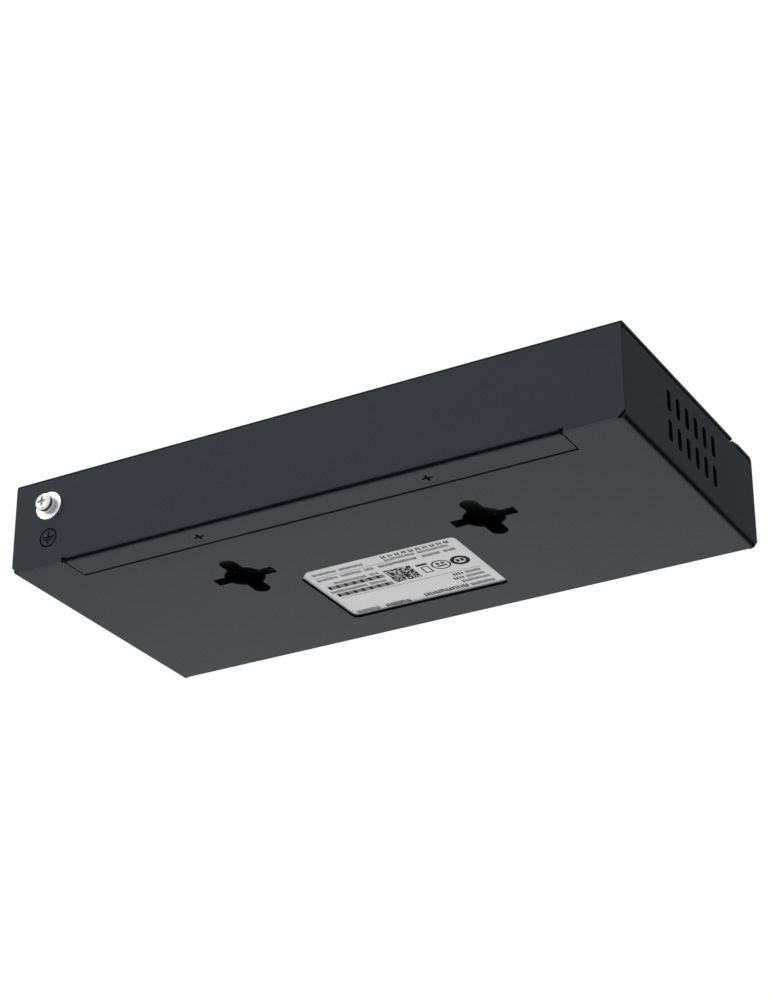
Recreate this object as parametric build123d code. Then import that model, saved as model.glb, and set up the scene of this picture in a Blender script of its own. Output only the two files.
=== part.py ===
from build123d import *
import os

# Ten-port desktop ethernet switch in a folded steel case, in millimetres.
# X runs along the width, -Y is the port side, +Y the rear and +Z up. The origin is
# the middle of the case's footprint, on its underside.

# Case
CASE_WIDTH = 190.0
CASE_DEPTH = 88.4
CASE_HEIGHT = 28.3
SHEET = 0.8
BEND_RADIUS = 1.6
SEAM = 0.1
LAP_CLEARANCE = 0.03
OVERCUT = 1.0

# Lip that returns over the front and steps down under the lid
LIP_DEPTH = 9.6
RAMP_LENGTH = 4.2
RAMP_RADIUS = 1.6
TONGUE_LENGTH = 6.0
TONGUE_INSET = 3.0
LID_EDGE_GAP = 0.3
SIDE_GAP = 0.9
SIDE_CORNER_CUT = 1.0
LID_RAIL_LAP = 3.4
LID_RAIL_CLEARANCE = 0.3
FRONT_CORNER_RELIEF = 2.2
FRONT_CORNER_HEIGHT = 1.7

# Hooks of the lid that catch under the lip's tongue
HOOK_WIDTH = 10.0
HOOK_REACH = 3.0
HOOK_SPACING = 60.0
HOOK_COUNT = 3

# Flange of the lid, let flush into a joggle of the floor
FLANGE_LENGTH = 154.0
FLANGE_DEPTH = 10.0
FLANGE_END_GAP = 0.4
FLANGE_EDGE_GAP = 1.0
NOTCH_WIDTH = 1.4
NOTCH_HEIGHT = 1.3
NOTCH_OVERLAP = 0.5
REAR_CORNER_CUT = 1.9

# Countersunk screws that hold the flange
LID_SCREW_SPACING = 71.3
LID_SCREW_FROM_REAR = 5.8
LID_SCREW_HEAD = 5.5
LID_SCREW_SHANK = 3.0
LID_SCREW_LENGTH = 5.0
LID_SCREW_SINK = 0.04
LID_SCREW_RECESS = 3.3
COLLAR_WALL = 0.8
COLLAR_HEIGHT = 1.6
SCREW_CLEARANCE = 0.05

# Hanging holes: a round entry crossed by a round-ended and a square-ended slot
KEYHOLE_SPACING = 76.2
KEYHOLE_FROM_REAR = 33.5
KEYHOLE_BORE = 11.8
KEYHOLE_SLOT_WIDTH = 5.1
KEYHOLE_SLOT_LENGTH = 23.0
KEYHOLE_ARM_WIDTH = 4.0
KEYHOLE_ARM_LENGTH = 19.2

# Rating label in its pressed recess
LABEL_WIDTH = 50.5
LABEL_DEPTH = 34.0
LABEL_THICKNESS = 0.1
LABEL_CLEARANCE = 0.1
LABEL_RECESS = 0.9
LABEL_OFFSET = 0.2
LABEL_FROM_REAR = 40.1
LABEL_CORNER_RADIUS = 1.5
LABEL_CORNER_CUT = 3.6

# Vent slots in both sides
VENT_WIDTH = 2.4
VENT_LENGTH = 6.5
VENT_PITCH = 5.95
VENT_ROW_PITCH = 9.0
VENT_COLUMNS = 6
VENT_ROWS = 2
VENT_SHIFT = 0.4

# Earth terminal on the rear
EARTH_FROM_SIDE = 12.1
EARTH_FROM_TOP = 9.8
EARTH_THREAD = 3.0
EARTH_SCREW_LENGTH = 6.0
EARTH_HEAD = 5.3
EARTH_HEAD_FACE = 5.1
EARTH_HEAD_RIM = 0.6
EARTH_HEAD_HEIGHT = 2.3
EARTH_HEAD_ROUND = 1.0
EARTH_RECESS = 2.9
FLAT_WASHER = 8.4
FLAT_WASHER_HEIGHT = 0.8
SPRING_WASHER = 5.2
SPRING_WASHER_HEIGHT = 1.0
SPRING_WASHER_SPLIT = 1.0
SPRING_SPLIT_ANGLE = 78.0
SPRING_SPLIT_SLANT = 20.0
CLINCH_NUT = 6.0
CLINCH_NUT_HEIGHT = 2.2

# Circuit board on its standoffs
BOARD_THICKNESS = 1.6
BOARD_SIDE_GAP = 4.2
BOARD_FRONT_GAP = 1.0
BOARD_REAR_GAP = 7.6
BOARD_CORNER_RADIUS = 1.5
STANDOFF_HEIGHT = 4.4
STANDOFF_FLATS = 5.0
STANDOFF_EDGE = 6.0
BOARD_SCREW_THREAD = 3.0
BOARD_SCREW_LENGTH = 5.0
BOARD_SCREW_HEAD = 5.6
BOARD_SCREW_HEAD_FACE = 5.0
BOARD_SCREW_HEAD_RIM = 0.5
BOARD_SCREW_HEAD_HEIGHT = 2.0
BOARD_SCREW_HEAD_ROUND = 0.4
BOARD_SCREW_RECESS = 2.8

# Ganged sockets
PORT_COUNT = 8
UPLINK_COUNT = 2
PORT_PITCH = 13.97
BLOCK_END_WALL = 0.7
BLOCK_HEIGHT = 13.2
BLOCK_DEPTH = 16.0
BLOCK_GAP = 6.0
BLOCK_SETBACK = 0.1
OPENING_CLEARANCE = 0.2
SHIELD = 0.25
SHIELD_LIP = 0.15
SOCKET_WIDTH = 11.9
SOCKET_HEIGHT = 7.0
SOCKET_FLOOR = 4.6
SOCKET_DEPTH = 12.8
LATCH_WIDTH = 6.3
LATCH_HEIGHT = 1.5
CATCH_WIDTH = 3.4
CATCH_HEIGHT = 1.3
WIRE = 0.35
WIRE_PITCH = 1.02
WIRE_COUNT = 8
WIRE_CLEARANCE = 0.15
WIRE_TAIL = 3.0
WIRE_FRONT_BEND = 3.6
WIRE_TIP_DEPTH = 9.2
WIRE_TIP_DROP = 2.9
POST_DIAMETER = 3.0
POST_LENGTH = 2.6
POST_FROM_FRONT = 7.5
POST_CLEARANCE = 0.1

# Power inlet
INLET_WIDTH = 9.0
INLET_DEPTH = 14.2
INLET_HEIGHT = 11.0
INLET_BORE = 6.3
INLET_BORE_HEIGHT = 6.4
INLET_BORE_DEPTH = 10.5
INLET_PIN = 2.0
INLET_PIN_SETBACK = 1.2
INLET_PIN_TIP_ROUND = 0.6
INLET_PIN_ROOT = 2.4
INLET_SPRING_WIDTH = 2.4
INLET_SPRING_THICKNESS = 0.3
INLET_SPRING_SLOT = 0.9
INLET_SPRING_FROM_FRONT = 2.0

# Light pipes and their lamps
PIPE_DIAMETER = 2.2
PIPE_LIFT = 0.4
PIPE_HOLE_CLEARANCE = 0.1
PIPE_LEG_GAP = 0.9
LAMP_LENGTH = 2.0
LAMP_WIDTH = 1.25
LAMP_HEIGHT = 0.75
LAMP_GAP = 0.2
PIPE_PEG = 1.8
PIPE_PEG_GAP = 1.5

# Chips and other parts on the board
LEAD_THICKNESS = 0.15
LEAD_FOOT = 0.6
CHIP_SIZE = 20.0
CHIP_HEIGHT = 1.5
CHIP_PIN_COUNT = 22
CHIP_PIN_PITCH = 0.8
CHIP_BEHIND_MAGNETICS = 5.0
CHIP_OFFSET = 18.0
PAD_SIZE = 17.6
PAD_HEIGHT = 0.5
SINK_SIZE = 26.0
SINK_BASE = 2.0
SINK_FIN_HEIGHT = 6.5
SINK_FIN_THICKNESS = 1.2
SINK_FIN_COUNT = 7
MAGNETICS_LENGTH = 17.6
MAGNETICS_WIDTH = 9.2
MAGNETICS_HEIGHT = 5.4
MAGNETICS_PIN_COUNT = 12
MAGNETICS_PIN_PITCH = 1.27
MAGNETICS_GAP = 2.4
CAN_DIAMETER = 8.0
CAN_HEIGHT = 11.5
CAN_GROOVE = 0.35
CAN_COUNT = 3
CAN_PITCH = 10.5
COIL_SIZE = 7.3
COIL_HEIGHT = 3.2
COIL_COUNT = 2
COIL_PITCH = 10.0
COIL_CORNER = 1.2
SMALL_CHIP_LENGTH = 5.0
SMALL_CHIP_WIDTH = 4.0
SMALL_CHIP_HEIGHT = 1.6
SMALL_CHIP_PIN_COUNT = 4
SMALL_CHIP_PIN_PITCH = 1.27
REGULATOR_COUNT = 2
REGULATOR_PITCH = 9.0
SURGE_CHIP_LENGTH = 3.0
SURGE_CHIP_WIDTH = 1.7
SURGE_CHIP_HEIGHT = 1.1
SURGE_CHIP_PIN_COUNT = 3
SURGE_CHIP_PIN_PITCH = 0.95
SURGE_GAP = 3.2
CRYSTAL_LENGTH = 5.0
CRYSTAL_WIDTH = 3.2
CRYSTAL_HEIGHT = 1.1
CERAMIC_LENGTH = 1.6
CERAMIC_WIDTH = 0.8
CERAMIC_HEIGHT = 0.8
CERAMIC_PITCH = 2.6
CERAMIC_COUNT = 8
RESISTOR_LENGTH = 1.6
RESISTOR_WIDTH = 0.8
RESISTOR_HEIGHT = 0.45
RESISTOR_PITCH = 2.0
RESISTORS_PER_PAIR = 4
FUSE_LENGTH = 6.1
FUSE_WIDTH = 2.7
FUSE_HEIGHT = 2.2
POWER_FROM_EDGE = 22.0
POWER_ROW_FROM_REAR = 7.5
PART_GAP = 2.0

# Places that follow from the sizes above
right = CASE_WIDTH / 2
rear = CASE_DEPTH / 2
front = -rear
top = CASE_HEIGHT
inner_right = right - SHEET
inner_rear = rear - SHEET
inner_front = front + SHEET
fold = BEND_RADIUS - SHEET / 2
side_top = top - SHEET - SIDE_GAP
ramp_top = front + LIP_DEPTH
ramp_foot = ramp_top + RAMP_LENGTH
tongue_drop = SHEET + LAP_CLEARANCE
tongue_end = ramp_foot + TONGUE_LENGTH
lid_front = ramp_foot + LID_EDGE_GAP
flange_half = FLANGE_LENGTH / 2
flange_front = rear - FLANGE_DEPTH
joggle_half = flange_half + FLANGE_END_GAP
joggle_front = flange_front - FLANGE_EDGE_GAP
joggle_rear = rear - BEND_RADIUS - SEAM
shelf = SHEET + LAP_CLEARANCE
floor_rear = inner_rear - SEAM
lid_screw_y = rear - LID_SCREW_FROM_REAR
lid_screw_xs = (-LID_SCREW_SPACING / 2, LID_SCREW_SPACING / 2)
keyhole_y = rear - KEYHOLE_FROM_REAR
label_y = rear - LABEL_FROM_REAR - LABEL_DEPTH / 2
earth_x = right - EARTH_FROM_SIDE
earth_z = top - EARTH_FROM_TOP

board_z = SHEET + STANDOFF_HEIGHT
board_top = board_z + BOARD_THICKNESS
board_half = inner_right - BOARD_SIDE_GAP
board_front = inner_front + BOARD_FRONT_GAP
board_rear = inner_rear - BOARD_REAR_GAP
standoff_x = board_half - STANDOFF_EDGE
standoff_rear_y = board_rear - STANDOFF_EDGE

port_width = PORT_COUNT * PORT_PITCH + 2 * BLOCK_END_WALL
uplink_width = UPLINK_COUNT * PORT_PITCH + 2 * BLOCK_END_WALL
bank_width = port_width + uplink_width + INLET_WIDTH + 2 * BLOCK_GAP
port_x = -bank_width / 2 + port_width / 2
uplink_x = port_x + port_width / 2 + BLOCK_GAP + uplink_width / 2
inlet_x = bank_width / 2 - INLET_WIDTH / 2
block_front = front + BLOCK_SETBACK
block_rear = block_front + BLOCK_DEPTH
block_top = board_top + BLOCK_HEIGHT
pipe_z = block_top + PIPE_LIFT + PIPE_DIAMETER / 2
leg_y = block_rear + PIPE_LEG_GAP + PIPE_DIAMETER / 2
magnetics_y = leg_y + PIPE_DIAMETER / 2 + SURGE_GAP + MAGNETICS_GAP + MAGNETICS_WIDTH / 2
chip_y = magnetics_y + MAGNETICS_WIDTH / 2 + CHIP_BEHIND_MAGNETICS + SINK_SIZE / 2
chip_x = port_x + CHIP_OFFSET
power_x = board_half - POWER_FROM_EDGE
power_y = board_rear - POWER_ROW_FROM_REAR
head_room = PART_GAP + BOARD_SCREW_HEAD / 2
standoff_front_y = magnetics_y + MAGNETICS_WIDTH / 2 + 2 * LEAD_FOOT + head_room
standoff_mid_x = chip_x + SINK_SIZE / 2 + PART_GAP + CERAMIC_LENGTH / 2 + head_room
recess_rear = label_y + LABEL_DEPTH / 2 + LABEL_CLEARANCE + SHEET
standoff_mid_y = recess_rear + PART_GAP + STANDOFF_FLATS
standoffs = [(x, y) for x in (-standoff_x, standoff_x) for y in (standoff_front_y, standoff_rear_y)]
standoffs.append((standoff_mid_x, standoff_mid_y))


def port_places(centre, count):
    """X of each socket in a ganged block."""
    first = centre - (count - 1) / 2 * PORT_PITCH
    return [first + i * PORT_PITCH for i in range(count)]


port_xs = port_places(port_x, PORT_COUNT)
uplink_xs = port_places(uplink_x, UPLINK_COUNT)
pair_xs = [(a + b) / 2 for xs in (port_xs, uplink_xs) for a, b in zip(xs[::2], xs[1::2])]


def span(x, y, z):
    """A box from its low to its high limit along each axis."""
    sizes = [high - low for low, high in (x, y, z)]
    centre = [(high + low) / 2 for low, high in (x, y, z)]
    return Pos(*centre) * Box(*sizes)


def standing(x, y, z, diameter, height):
    """A round bar that stands on the height z."""
    return Pos(x, y, z + height / 2) * Cylinder(diameter / 2, height)


def mirrored(shape):
    """The shape together with its mirror image across the middle of the width."""
    return shape + mirror(shape, about=Plane.YZ)


def group(shapes):
    """Separate solids that share one node."""
    return Compound(children=[s for shape in shapes for s in shape.solids()])


def sheet_across(points, radii, half_width):
    """A folded sheet as wide as the case, from the (Y, Z) corners of its middle line."""
    section = trace(FilletPolyline(*points, radius=radii), line_width=SHEET)
    return extrude(Plane.YZ.offset(-half_width) * section, amount=2 * half_width)


def cross_recess(width, depth):
    """The cut of a cross-head driver, from z = 0 down."""
    arm = width * 0.26
    blades = Pos(0, 0, -depth / 2) * (Box(width, arm, depth) + Box(arm, width, depth))
    return blades + Pos(0, 0, -depth - arm / 2) * Cone(arm / 5, arm / 1.6, arm)


def pan_cap(head, face, rim, height, round_off):
    """A screw head on z = 0 that narrows from its rim to its flat face."""
    cap = standing(0, 0, 0, head, rim)
    cap += Pos(0, 0, (rim + height) / 2) * Cone(head / 2, face / 2, height - rim)
    return fillet(cap.edges().group_by(Axis.Z)[-1], round_off)


def pan_screw(cap, thread, length, recess):
    """A pan-head screw that points down, with the underside of its head at z = 0."""
    height = cap.bounding_box().max.Z
    shank = standing(0, 0, -length, thread, length)
    shank = chamfer(shank.edges().group_by(Axis.Z)[0], thread / 8)
    return cap + shank - Pos(0, 0, height) * cross_recess(recess, height * 0.55)


def ring(outer, inner, height):
    """A washer that lies on z = 0."""
    return standing(0, 0, 0, outer, height) - standing(0, 0, 0, inner, height)


def gull_leads(body_length, body_width, body_height, pins, pitch):
    """Two rows of formed leads along the long sides of a package, on z = 0."""
    lead_width = pitch * 0.4
    knee = body_height / 2
    rows = []
    for i in range(pins):
        x = (i - (pins - 1) / 2) * pitch
        for side in (-1, 1):
            wall = side * body_width / 2
            out = wall + side * LEAD_FOOT
            tip = out + side * LEAD_FOOT
            xs = (x - lead_width / 2, x + lead_width / 2)
            shoulder = span(xs, sorted((wall - side * 0.2, out)), (knee, knee + LEAD_THICKNESS))
            riser = span(xs, sorted((out, out - side * LEAD_THICKNESS)), (0, knee + LEAD_THICKNESS))
            toe = span(xs, sorted((out - side * LEAD_THICKNESS, tip)), (0, LEAD_THICKNESS))
            rows.append(shoulder + riser + toe)
    return rows


def leaded_chip(length, width, height, pins, pitch, four_sided=False):
    """A moulded chip with its leads, one piece that stands on z = 0."""
    stand = LEAD_THICKNESS / 2
    body = Pos(0, 0, stand + (height - stand) / 2) * Box(length, width, height - stand)
    body = chamfer(body.edges().group_by(Axis.Z)[-1], height * 0.1)
    leads = gull_leads(length, width, height, pins, pitch)
    if four_sided:
        leads += [Rot(0, 0, 90) * lead for lead in gull_leads(width, length, height, pins, pitch)]
    return body.fuse(*leads)


# Tray: floor, two sides, front panel and lip, folded from one sheet
def vent_cuts():
    """The slots of both sides, cut straight through the case."""
    slot = Rot(0, 90, 0) * extrude(
        SlotOverall(VENT_LENGTH, VENT_WIDTH), amount=right + BEND_RADIUS, both=True
    )
    cuts = []
    for column in range(VENT_COLUMNS):
        for row in range(VENT_ROWS):
            y = (column - (VENT_COLUMNS - 1) / 2) * VENT_PITCH - VENT_SHIFT
            z = top / 2 + (row - (VENT_ROWS - 1) / 2) * VENT_ROW_PITCH
            cuts.append(Pos(0, y, z) * slot)
    return cuts


def keyhole_cut():
    """One hanging hole, deeper than the floor is thick."""
    outline = Circle(KEYHOLE_BORE / 2)
    outline += Rot(0, 0, 90) * SlotOverall(KEYHOLE_SLOT_LENGTH, KEYHOLE_SLOT_WIDTH)
    outline += Rectangle(KEYHOLE_ARM_LENGTH, KEYHOLE_ARM_WIDTH)
    return extrude(outline, amount=2 * SHEET, both=True)


def label_outline(grow):
    """The label's outline, with three rounded corners and one cut, grown by a margin."""
    width = LABEL_WIDTH + 2 * grow
    depth = LABEL_DEPTH + 2 * grow
    plate = RectangleRounded(width, depth, LABEL_CORNER_RADIUS + grow)
    clip = (LABEL_CORNER_CUT + grow) * 2**0.5
    plate -= Pos(width / 2, depth / 2) * Rot(0, 0, 45) * Rectangle(clip, 2 * clip)
    return Pos(LABEL_OFFSET, label_y) * plate


def screw_profile(clearance):
    """A countersunk screw's body with its flat face down on z = 0, grown by a clearance."""
    head = LID_SCREW_HEAD / 2 + clearance
    shank = LID_SCREW_SHANK / 2 + clearance
    cone = head - shank
    body = Pos(0, 0, cone / 2) * Cone(head, shank, cone)
    return body + standing(0, 0, 0, 2 * shank, LID_SCREW_LENGTH)


def front_openings():
    """Cuts of the front panel for the sockets, the inlet and the light pipes."""
    deep = (front - OVERCUT, inner_front + OVERCUT)
    cuts = []
    for centre, width, height in (
        (port_x, port_width, BLOCK_HEIGHT),
        (uplink_x, uplink_width, BLOCK_HEIGHT),
        (inlet_x, INLET_WIDTH, INLET_HEIGHT),
    ):
        half = width / 2 + OPENING_CLEARANCE
        high = board_top + height + OPENING_CLEARANCE
        cuts.append(span((centre - half, centre + half), deep, (board_top - OPENING_CLEARANCE, high)))
    hole = Rot(90, 0, 0) * Cylinder(PIPE_DIAMETER / 2 + PIPE_HOLE_CLEARANCE, 4 * SHEET)
    cuts += [Pos(x, front, pipe_z) * hole for x in port_xs + uplink_xs + [inlet_x]]
    return cuts


def make_tray():
    """The case's lower shell."""
    edge = inner_right + SHEET / 2
    channel_line = FilletPolyline(
        (-edge, side_top), (-edge, SHEET / 2), (edge, SHEET / 2), (edge, side_top), radius=fold
    )
    channel = trace(channel_line, line_width=SHEET)
    channel_front = inner_front + SEAM
    channel = extrude(Plane.XZ.offset(-floor_rear) * channel, amount=floor_rear - channel_front)
    relief = right - FRONT_CORNER_RELIEF
    channel -= span((-relief, relief), (front, front + BEND_RADIUS), (-OVERCUT, BEND_RADIUS))
    clip = SIDE_CORNER_CUT * 2**0.5
    for y in (channel_front, floor_rear):
        channel -= Pos(0, y, side_top) * Rot(45, 0, 0) * Box(CASE_WIDTH + OVERCUT, clip, clip)

    middle = front + SHEET / 2
    face = sheet_across(
        [
            (front + BEND_RADIUS + SEAM, SHEET / 2),
            (middle, SHEET / 2),
            (middle, top - SHEET / 2),
            (ramp_top, top - SHEET / 2),
            (ramp_foot, top - SHEET / 2 - tongue_drop),
            (tongue_end, top - SHEET / 2 - tongue_drop),
        ],
        [fold, fold, RAMP_RADIUS, RAMP_RADIUS],
        right,
    )
    corner = span(
        (relief, right + OVERCUT),
        (front - OVERCUT, front + 2 * BEND_RADIUS),
        (-OVERCUT, FRONT_CORNER_HEIGHT),
    )
    strip_side = span(
        (right - TONGUE_INSET, right + OVERCUT),
        (ramp_foot, tongue_end + OVERCUT),
        (side_top - OVERCUT, top),
    )
    face -= mirrored(corner)
    face -= mirrored(strip_side)
    tray = channel + face

    wall = joggle_half + SHEET
    tray += span((-wall, wall), (joggle_front - SHEET, joggle_rear), (0, shelf + SHEET))
    tray -= span((-joggle_half, joggle_half), (joggle_front, rear), (-OVERCUT, shelf))
    tray -= span((-joggle_half, joggle_half), (joggle_rear, rear), (-OVERCUT, shelf + 2 * SHEET))
    for x in lid_screw_xs:
        tray += standing(x, lid_screw_y, shelf, LID_SCREW_SHANK + 2 * COLLAR_WALL, SHEET + COLLAR_HEIGHT)
        tray -= Pos(x, lid_screw_y, LID_SCREW_SINK) * screw_profile(SCREW_CLEARANCE)

    tray += extrude(label_outline(LABEL_CLEARANCE + SHEET), amount=LABEL_RECESS + SHEET)
    tray -= extrude(label_outline(LABEL_CLEARANCE), amount=LABEL_RECESS)
    for x in (-KEYHOLE_SPACING / 2, KEYHOLE_SPACING / 2):
        tray -= Pos(x, keyhole_y) * keyhole_cut()
    for cut in vent_cuts() + front_openings():
        tray -= cut
    return tray


# Lid: top, rear panel and flange, folded from one sheet
def make_lid():
    """The case's upper shell."""
    back = rear - SHEET / 2
    lid = sheet_across(
        [
            (lid_front, top - SHEET / 2),
            (back, top - SHEET / 2),
            (back, SHEET / 2),
            (flange_front, SHEET / 2),
        ],
        [fold, fold],
        right,
    )
    notch_start = flange_half - NOTCH_OVERLAP
    notch_end = notch_start + NOTCH_WIDTH
    below = (-OVERCUT, BEND_RADIUS)
    lid -= mirrored(span((flange_half, right + OVERCUT), (flange_front - OVERCUT, rear + OVERCUT), below))
    lid -= mirrored(span((notch_start, right + OVERCUT), (rear - BEND_RADIUS, rear + OVERCUT), below))
    lid += mirrored(span((notch_start, right), (inner_rear, rear), (NOTCH_HEIGHT, BEND_RADIUS)))
    lid += mirrored(span((notch_end, right), (inner_rear, rear), (0, BEND_RADIUS)))
    clip = REAR_CORNER_CUT * 2**0.5
    lid -= mirrored(Pos(right, rear, 0) * Rot(0, 45, 0) * Box(clip, 4 * SHEET, clip))

    hook_high = top - SHEET - tongue_drop - LAP_CLEARANCE
    web = (tongue_end + SEAM, tongue_end + SEAM + SHEET)
    for i in range(HOOK_COUNT):
        x = (i - (HOOK_COUNT - 1) / 2) * HOOK_SPACING
        xs = (x - HOOK_WIDTH / 2, x + HOOK_WIDTH / 2)
        lid += span(xs, web, (hook_high - SHEET, top - SHEET))
        lid += span(xs, (tongue_end - HOOK_REACH, web[1]), (hook_high - SHEET, hook_high))

    rail_out = inner_right - LID_RAIL_CLEARANCE
    rail_high = (side_top - LID_RAIL_LAP, top - SHEET)
    lid += mirrored(span((rail_out - SHEET, rail_out), (web[0], inner_rear), rail_high))

    sink_width = LID_SCREW_HEAD + 2 * SCREW_CLEARANCE
    for x in lid_screw_xs:
        lid -= standing(x, lid_screw_y, 0, sink_width, LID_SCREW_SINK)
        lid -= Pos(x, lid_screw_y, LID_SCREW_SINK) * screw_profile(SCREW_CLEARANCE)
    lid -= Pos(earth_x, rear, earth_z) * Rot(90, 0, 0) * Cylinder(
        EARTH_THREAD / 2 + SCREW_CLEARANCE, 4 * SHEET
    )
    return lid


# Fasteners of the case
def make_lid_screws():
    """Countersunk screws, flush with the flange."""
    screw = screw_profile(0) - Rot(180, 0, 0) * cross_recess(LID_SCREW_RECESS, LID_SCREW_LENGTH / 5)
    return group(Pos(x, lid_screw_y, LID_SCREW_SINK) * screw for x in lid_screw_xs)


def earth_place(height):
    """The plane that stands off the rear panel on the earth screw's axis, pointing outwards."""
    return Plane(origin=(earth_x, rear + height, earth_z), x_dir=(-1, 0, 0), z_dir=(0, 1, 0))


def make_flat_washer():
    """Plain washer against the rear panel."""
    return earth_place(0) * ring(FLAT_WASHER, EARTH_THREAD + 2 * SCREW_CLEARANCE, FLAT_WASHER_HEIGHT)


def make_spring_washer():
    """Split washer between the plain washer and the screw's head."""
    washer = ring(SPRING_WASHER, EARTH_THREAD + 2 * SCREW_CLEARANCE, SPRING_WASHER_HEIGHT)
    split = Rot(0, 0, SPRING_SPLIT_ANGLE) * Pos(SPRING_WASHER / 2, 0, SPRING_WASHER_HEIGHT / 2)
    split = split * Rot(SPRING_SPLIT_SLANT, 0, 0)
    washer -= split * Box(SPRING_WASHER / 2, SPRING_WASHER_SPLIT, 3 * SPRING_WASHER_HEIGHT)
    return earth_place(FLAT_WASHER_HEIGHT) * washer


def make_earth_screw():
    """Pan-head screw of the earth terminal."""
    cap = pan_cap(EARTH_HEAD, EARTH_HEAD_FACE, EARTH_HEAD_RIM, EARTH_HEAD_HEIGHT, EARTH_HEAD_ROUND)
    screw = pan_screw(cap, EARTH_THREAD, EARTH_SCREW_LENGTH, EARTH_RECESS)
    return earth_place(FLAT_WASHER_HEIGHT + SPRING_WASHER_HEIGHT) * screw


def make_clinch_nut():
    """Nut pressed to the inside of the rear panel."""
    nut = extrude(RegularPolygon(CLINCH_NUT / 2, 6, major_radius=False), amount=CLINCH_NUT_HEIGHT)
    nut -= standing(0, 0, 0, EARTH_THREAD + 2 * SCREW_CLEARANCE, CLINCH_NUT_HEIGHT)
    return earth_place(-SHEET - CLINCH_NUT_HEIGHT) * nut


def make_label():
    """The rating label, stuck to the bottom of its recess."""
    return Pos(0, 0, LABEL_RECESS - LABEL_THICKNESS) * extrude(label_outline(0), amount=LABEL_THICKNESS)


# Circuit board and what holds it
def post_places():
    """Centres of the plastic posts that locate the ganged blocks."""
    y = block_front + POST_FROM_FRONT
    return [(x, y) for xs in (port_xs, uplink_xs) for x in (xs[0], xs[-1])]


def make_board():
    """The circuit board, drilled for its screws and for the blocks' posts and tails."""
    depth = board_rear - board_front
    outline = RectangleRounded(2 * board_half, depth, BOARD_CORNER_RADIUS)
    outline = Pos(0, board_front + depth / 2) * outline
    board = Pos(0, 0, board_z) * extrude(outline, amount=BOARD_THICKNESS)
    for x, y in standoffs:
        board -= standing(x, y, board_z, BOARD_SCREW_THREAD + 4 * SCREW_CLEARANCE, BOARD_THICKNESS)
    for x, y in post_places():
        board -= standing(x, y, board_z, POST_DIAMETER + 2 * POST_CLEARANCE, BOARD_THICKNESS)
    half = wire_row_half() + WIRE_CLEARANCE
    tail = (wire_back() - WIRE / 2 - WIRE_CLEARANCE, wire_back() + WIRE / 2 + WIRE_CLEARANCE)
    for x in port_xs + uplink_xs:
        board -= span((x - half, x + half), tail, (board_z, board_top))
    return board


def make_standoffs():
    """Hexagonal standoffs on the tray's floor."""
    post = extrude(RegularPolygon(STANDOFF_FLATS / 2, 6, major_radius=False), amount=STANDOFF_HEIGHT)
    post -= standing(0, 0, 0, BOARD_SCREW_THREAD + 2 * SCREW_CLEARANCE, STANDOFF_HEIGHT)
    return group(Pos(x, y, SHEET) * post for x, y in standoffs)


def make_board_screws():
    """Screws that clamp the board to its standoffs."""
    cap = pan_cap(
        BOARD_SCREW_HEAD,
        BOARD_SCREW_HEAD_FACE,
        BOARD_SCREW_HEAD_RIM,
        BOARD_SCREW_HEAD_HEIGHT,
        BOARD_SCREW_HEAD_ROUND,
    )
    screw = pan_screw(cap, BOARD_SCREW_THREAD, BOARD_SCREW_LENGTH, BOARD_SCREW_RECESS)
    return group(Pos(x, y, board_top) * screw for x, y in standoffs)


# Ganged sockets: plastic housing, metal shield and spring wires
def socket_outline(grow):
    """Mouth of one socket, with its latch and catch steps, in (X, Z) above the board."""
    width = SOCKET_WIDTH + 2 * grow
    height = SOCKET_HEIGHT + 2 * grow
    mouth = Pos(0, SOCKET_FLOOR + SOCKET_HEIGHT / 2) * Rectangle(width, height)
    low = SOCKET_FLOOR - LATCH_HEIGHT - grow
    mouth += Pos(0, (low + SOCKET_FLOOR) / 2) * Rectangle(LATCH_WIDTH + 2 * grow, SOCKET_FLOOR - low)
    lower = low - CATCH_HEIGHT
    return mouth + Pos(0, (lower + low) / 2) * Rectangle(CATCH_WIDTH + 2 * grow, low - lower)


def wire_row_half():
    """Half the width of one socket's row of wires."""
    return (WIRE_COUNT - 1) / 2 * WIRE_PITCH + WIRE / 2


def wire_back():
    """Y of the wires' upright run, behind the socket."""
    return block_front + SOCKET_DEPTH + WIRE_CLEARANCE + WIRE / 2


def wire_top():
    """Height above the board of the wires' run over the socket."""
    return SOCKET_FLOOR + SOCKET_HEIGHT + WIRE_CLEARANCE + WIRE / 2


def make_housing(xs, centre, width):
    """Moulded block with a stepped socket for each port and pockets for the wires."""
    half = width / 2 - SHIELD
    body = span(
        (centre - half, centre + half),
        (block_front + SHIELD, block_rear - SHIELD),
        (0, BLOCK_HEIGHT - SHIELD),
    )
    socket = extrude(Plane.XZ.offset(-block_front - SOCKET_DEPTH) * socket_outline(0), amount=SOCKET_DEPTH)
    row = wire_row_half() + WIRE_CLEARANCE
    margin = WIRE / 2 + WIRE_CLEARANCE
    high = wire_top() + margin
    pocket_front = block_front + SOCKET_DEPTH - SEAM
    pocket = span((-row, row), (pocket_front, wire_back() + margin), (-OVERCUT, high))
    bend_y = block_front + WIRE_FRONT_BEND - margin
    pocket += span((-row, row), (bend_y, wire_back()), (wire_top() - WIRE, high))
    for x in xs:
        body -= Pos(x, 0, 0) * (socket + pocket)
    post_y = block_front + POST_FROM_FRONT
    for x in (xs[0], xs[-1]):
        body += standing(x, post_y, -POST_LENGTH, POST_DIAMETER, POST_LENGTH + SHIELD)
    return Pos(0, 0, board_top) * body


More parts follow.
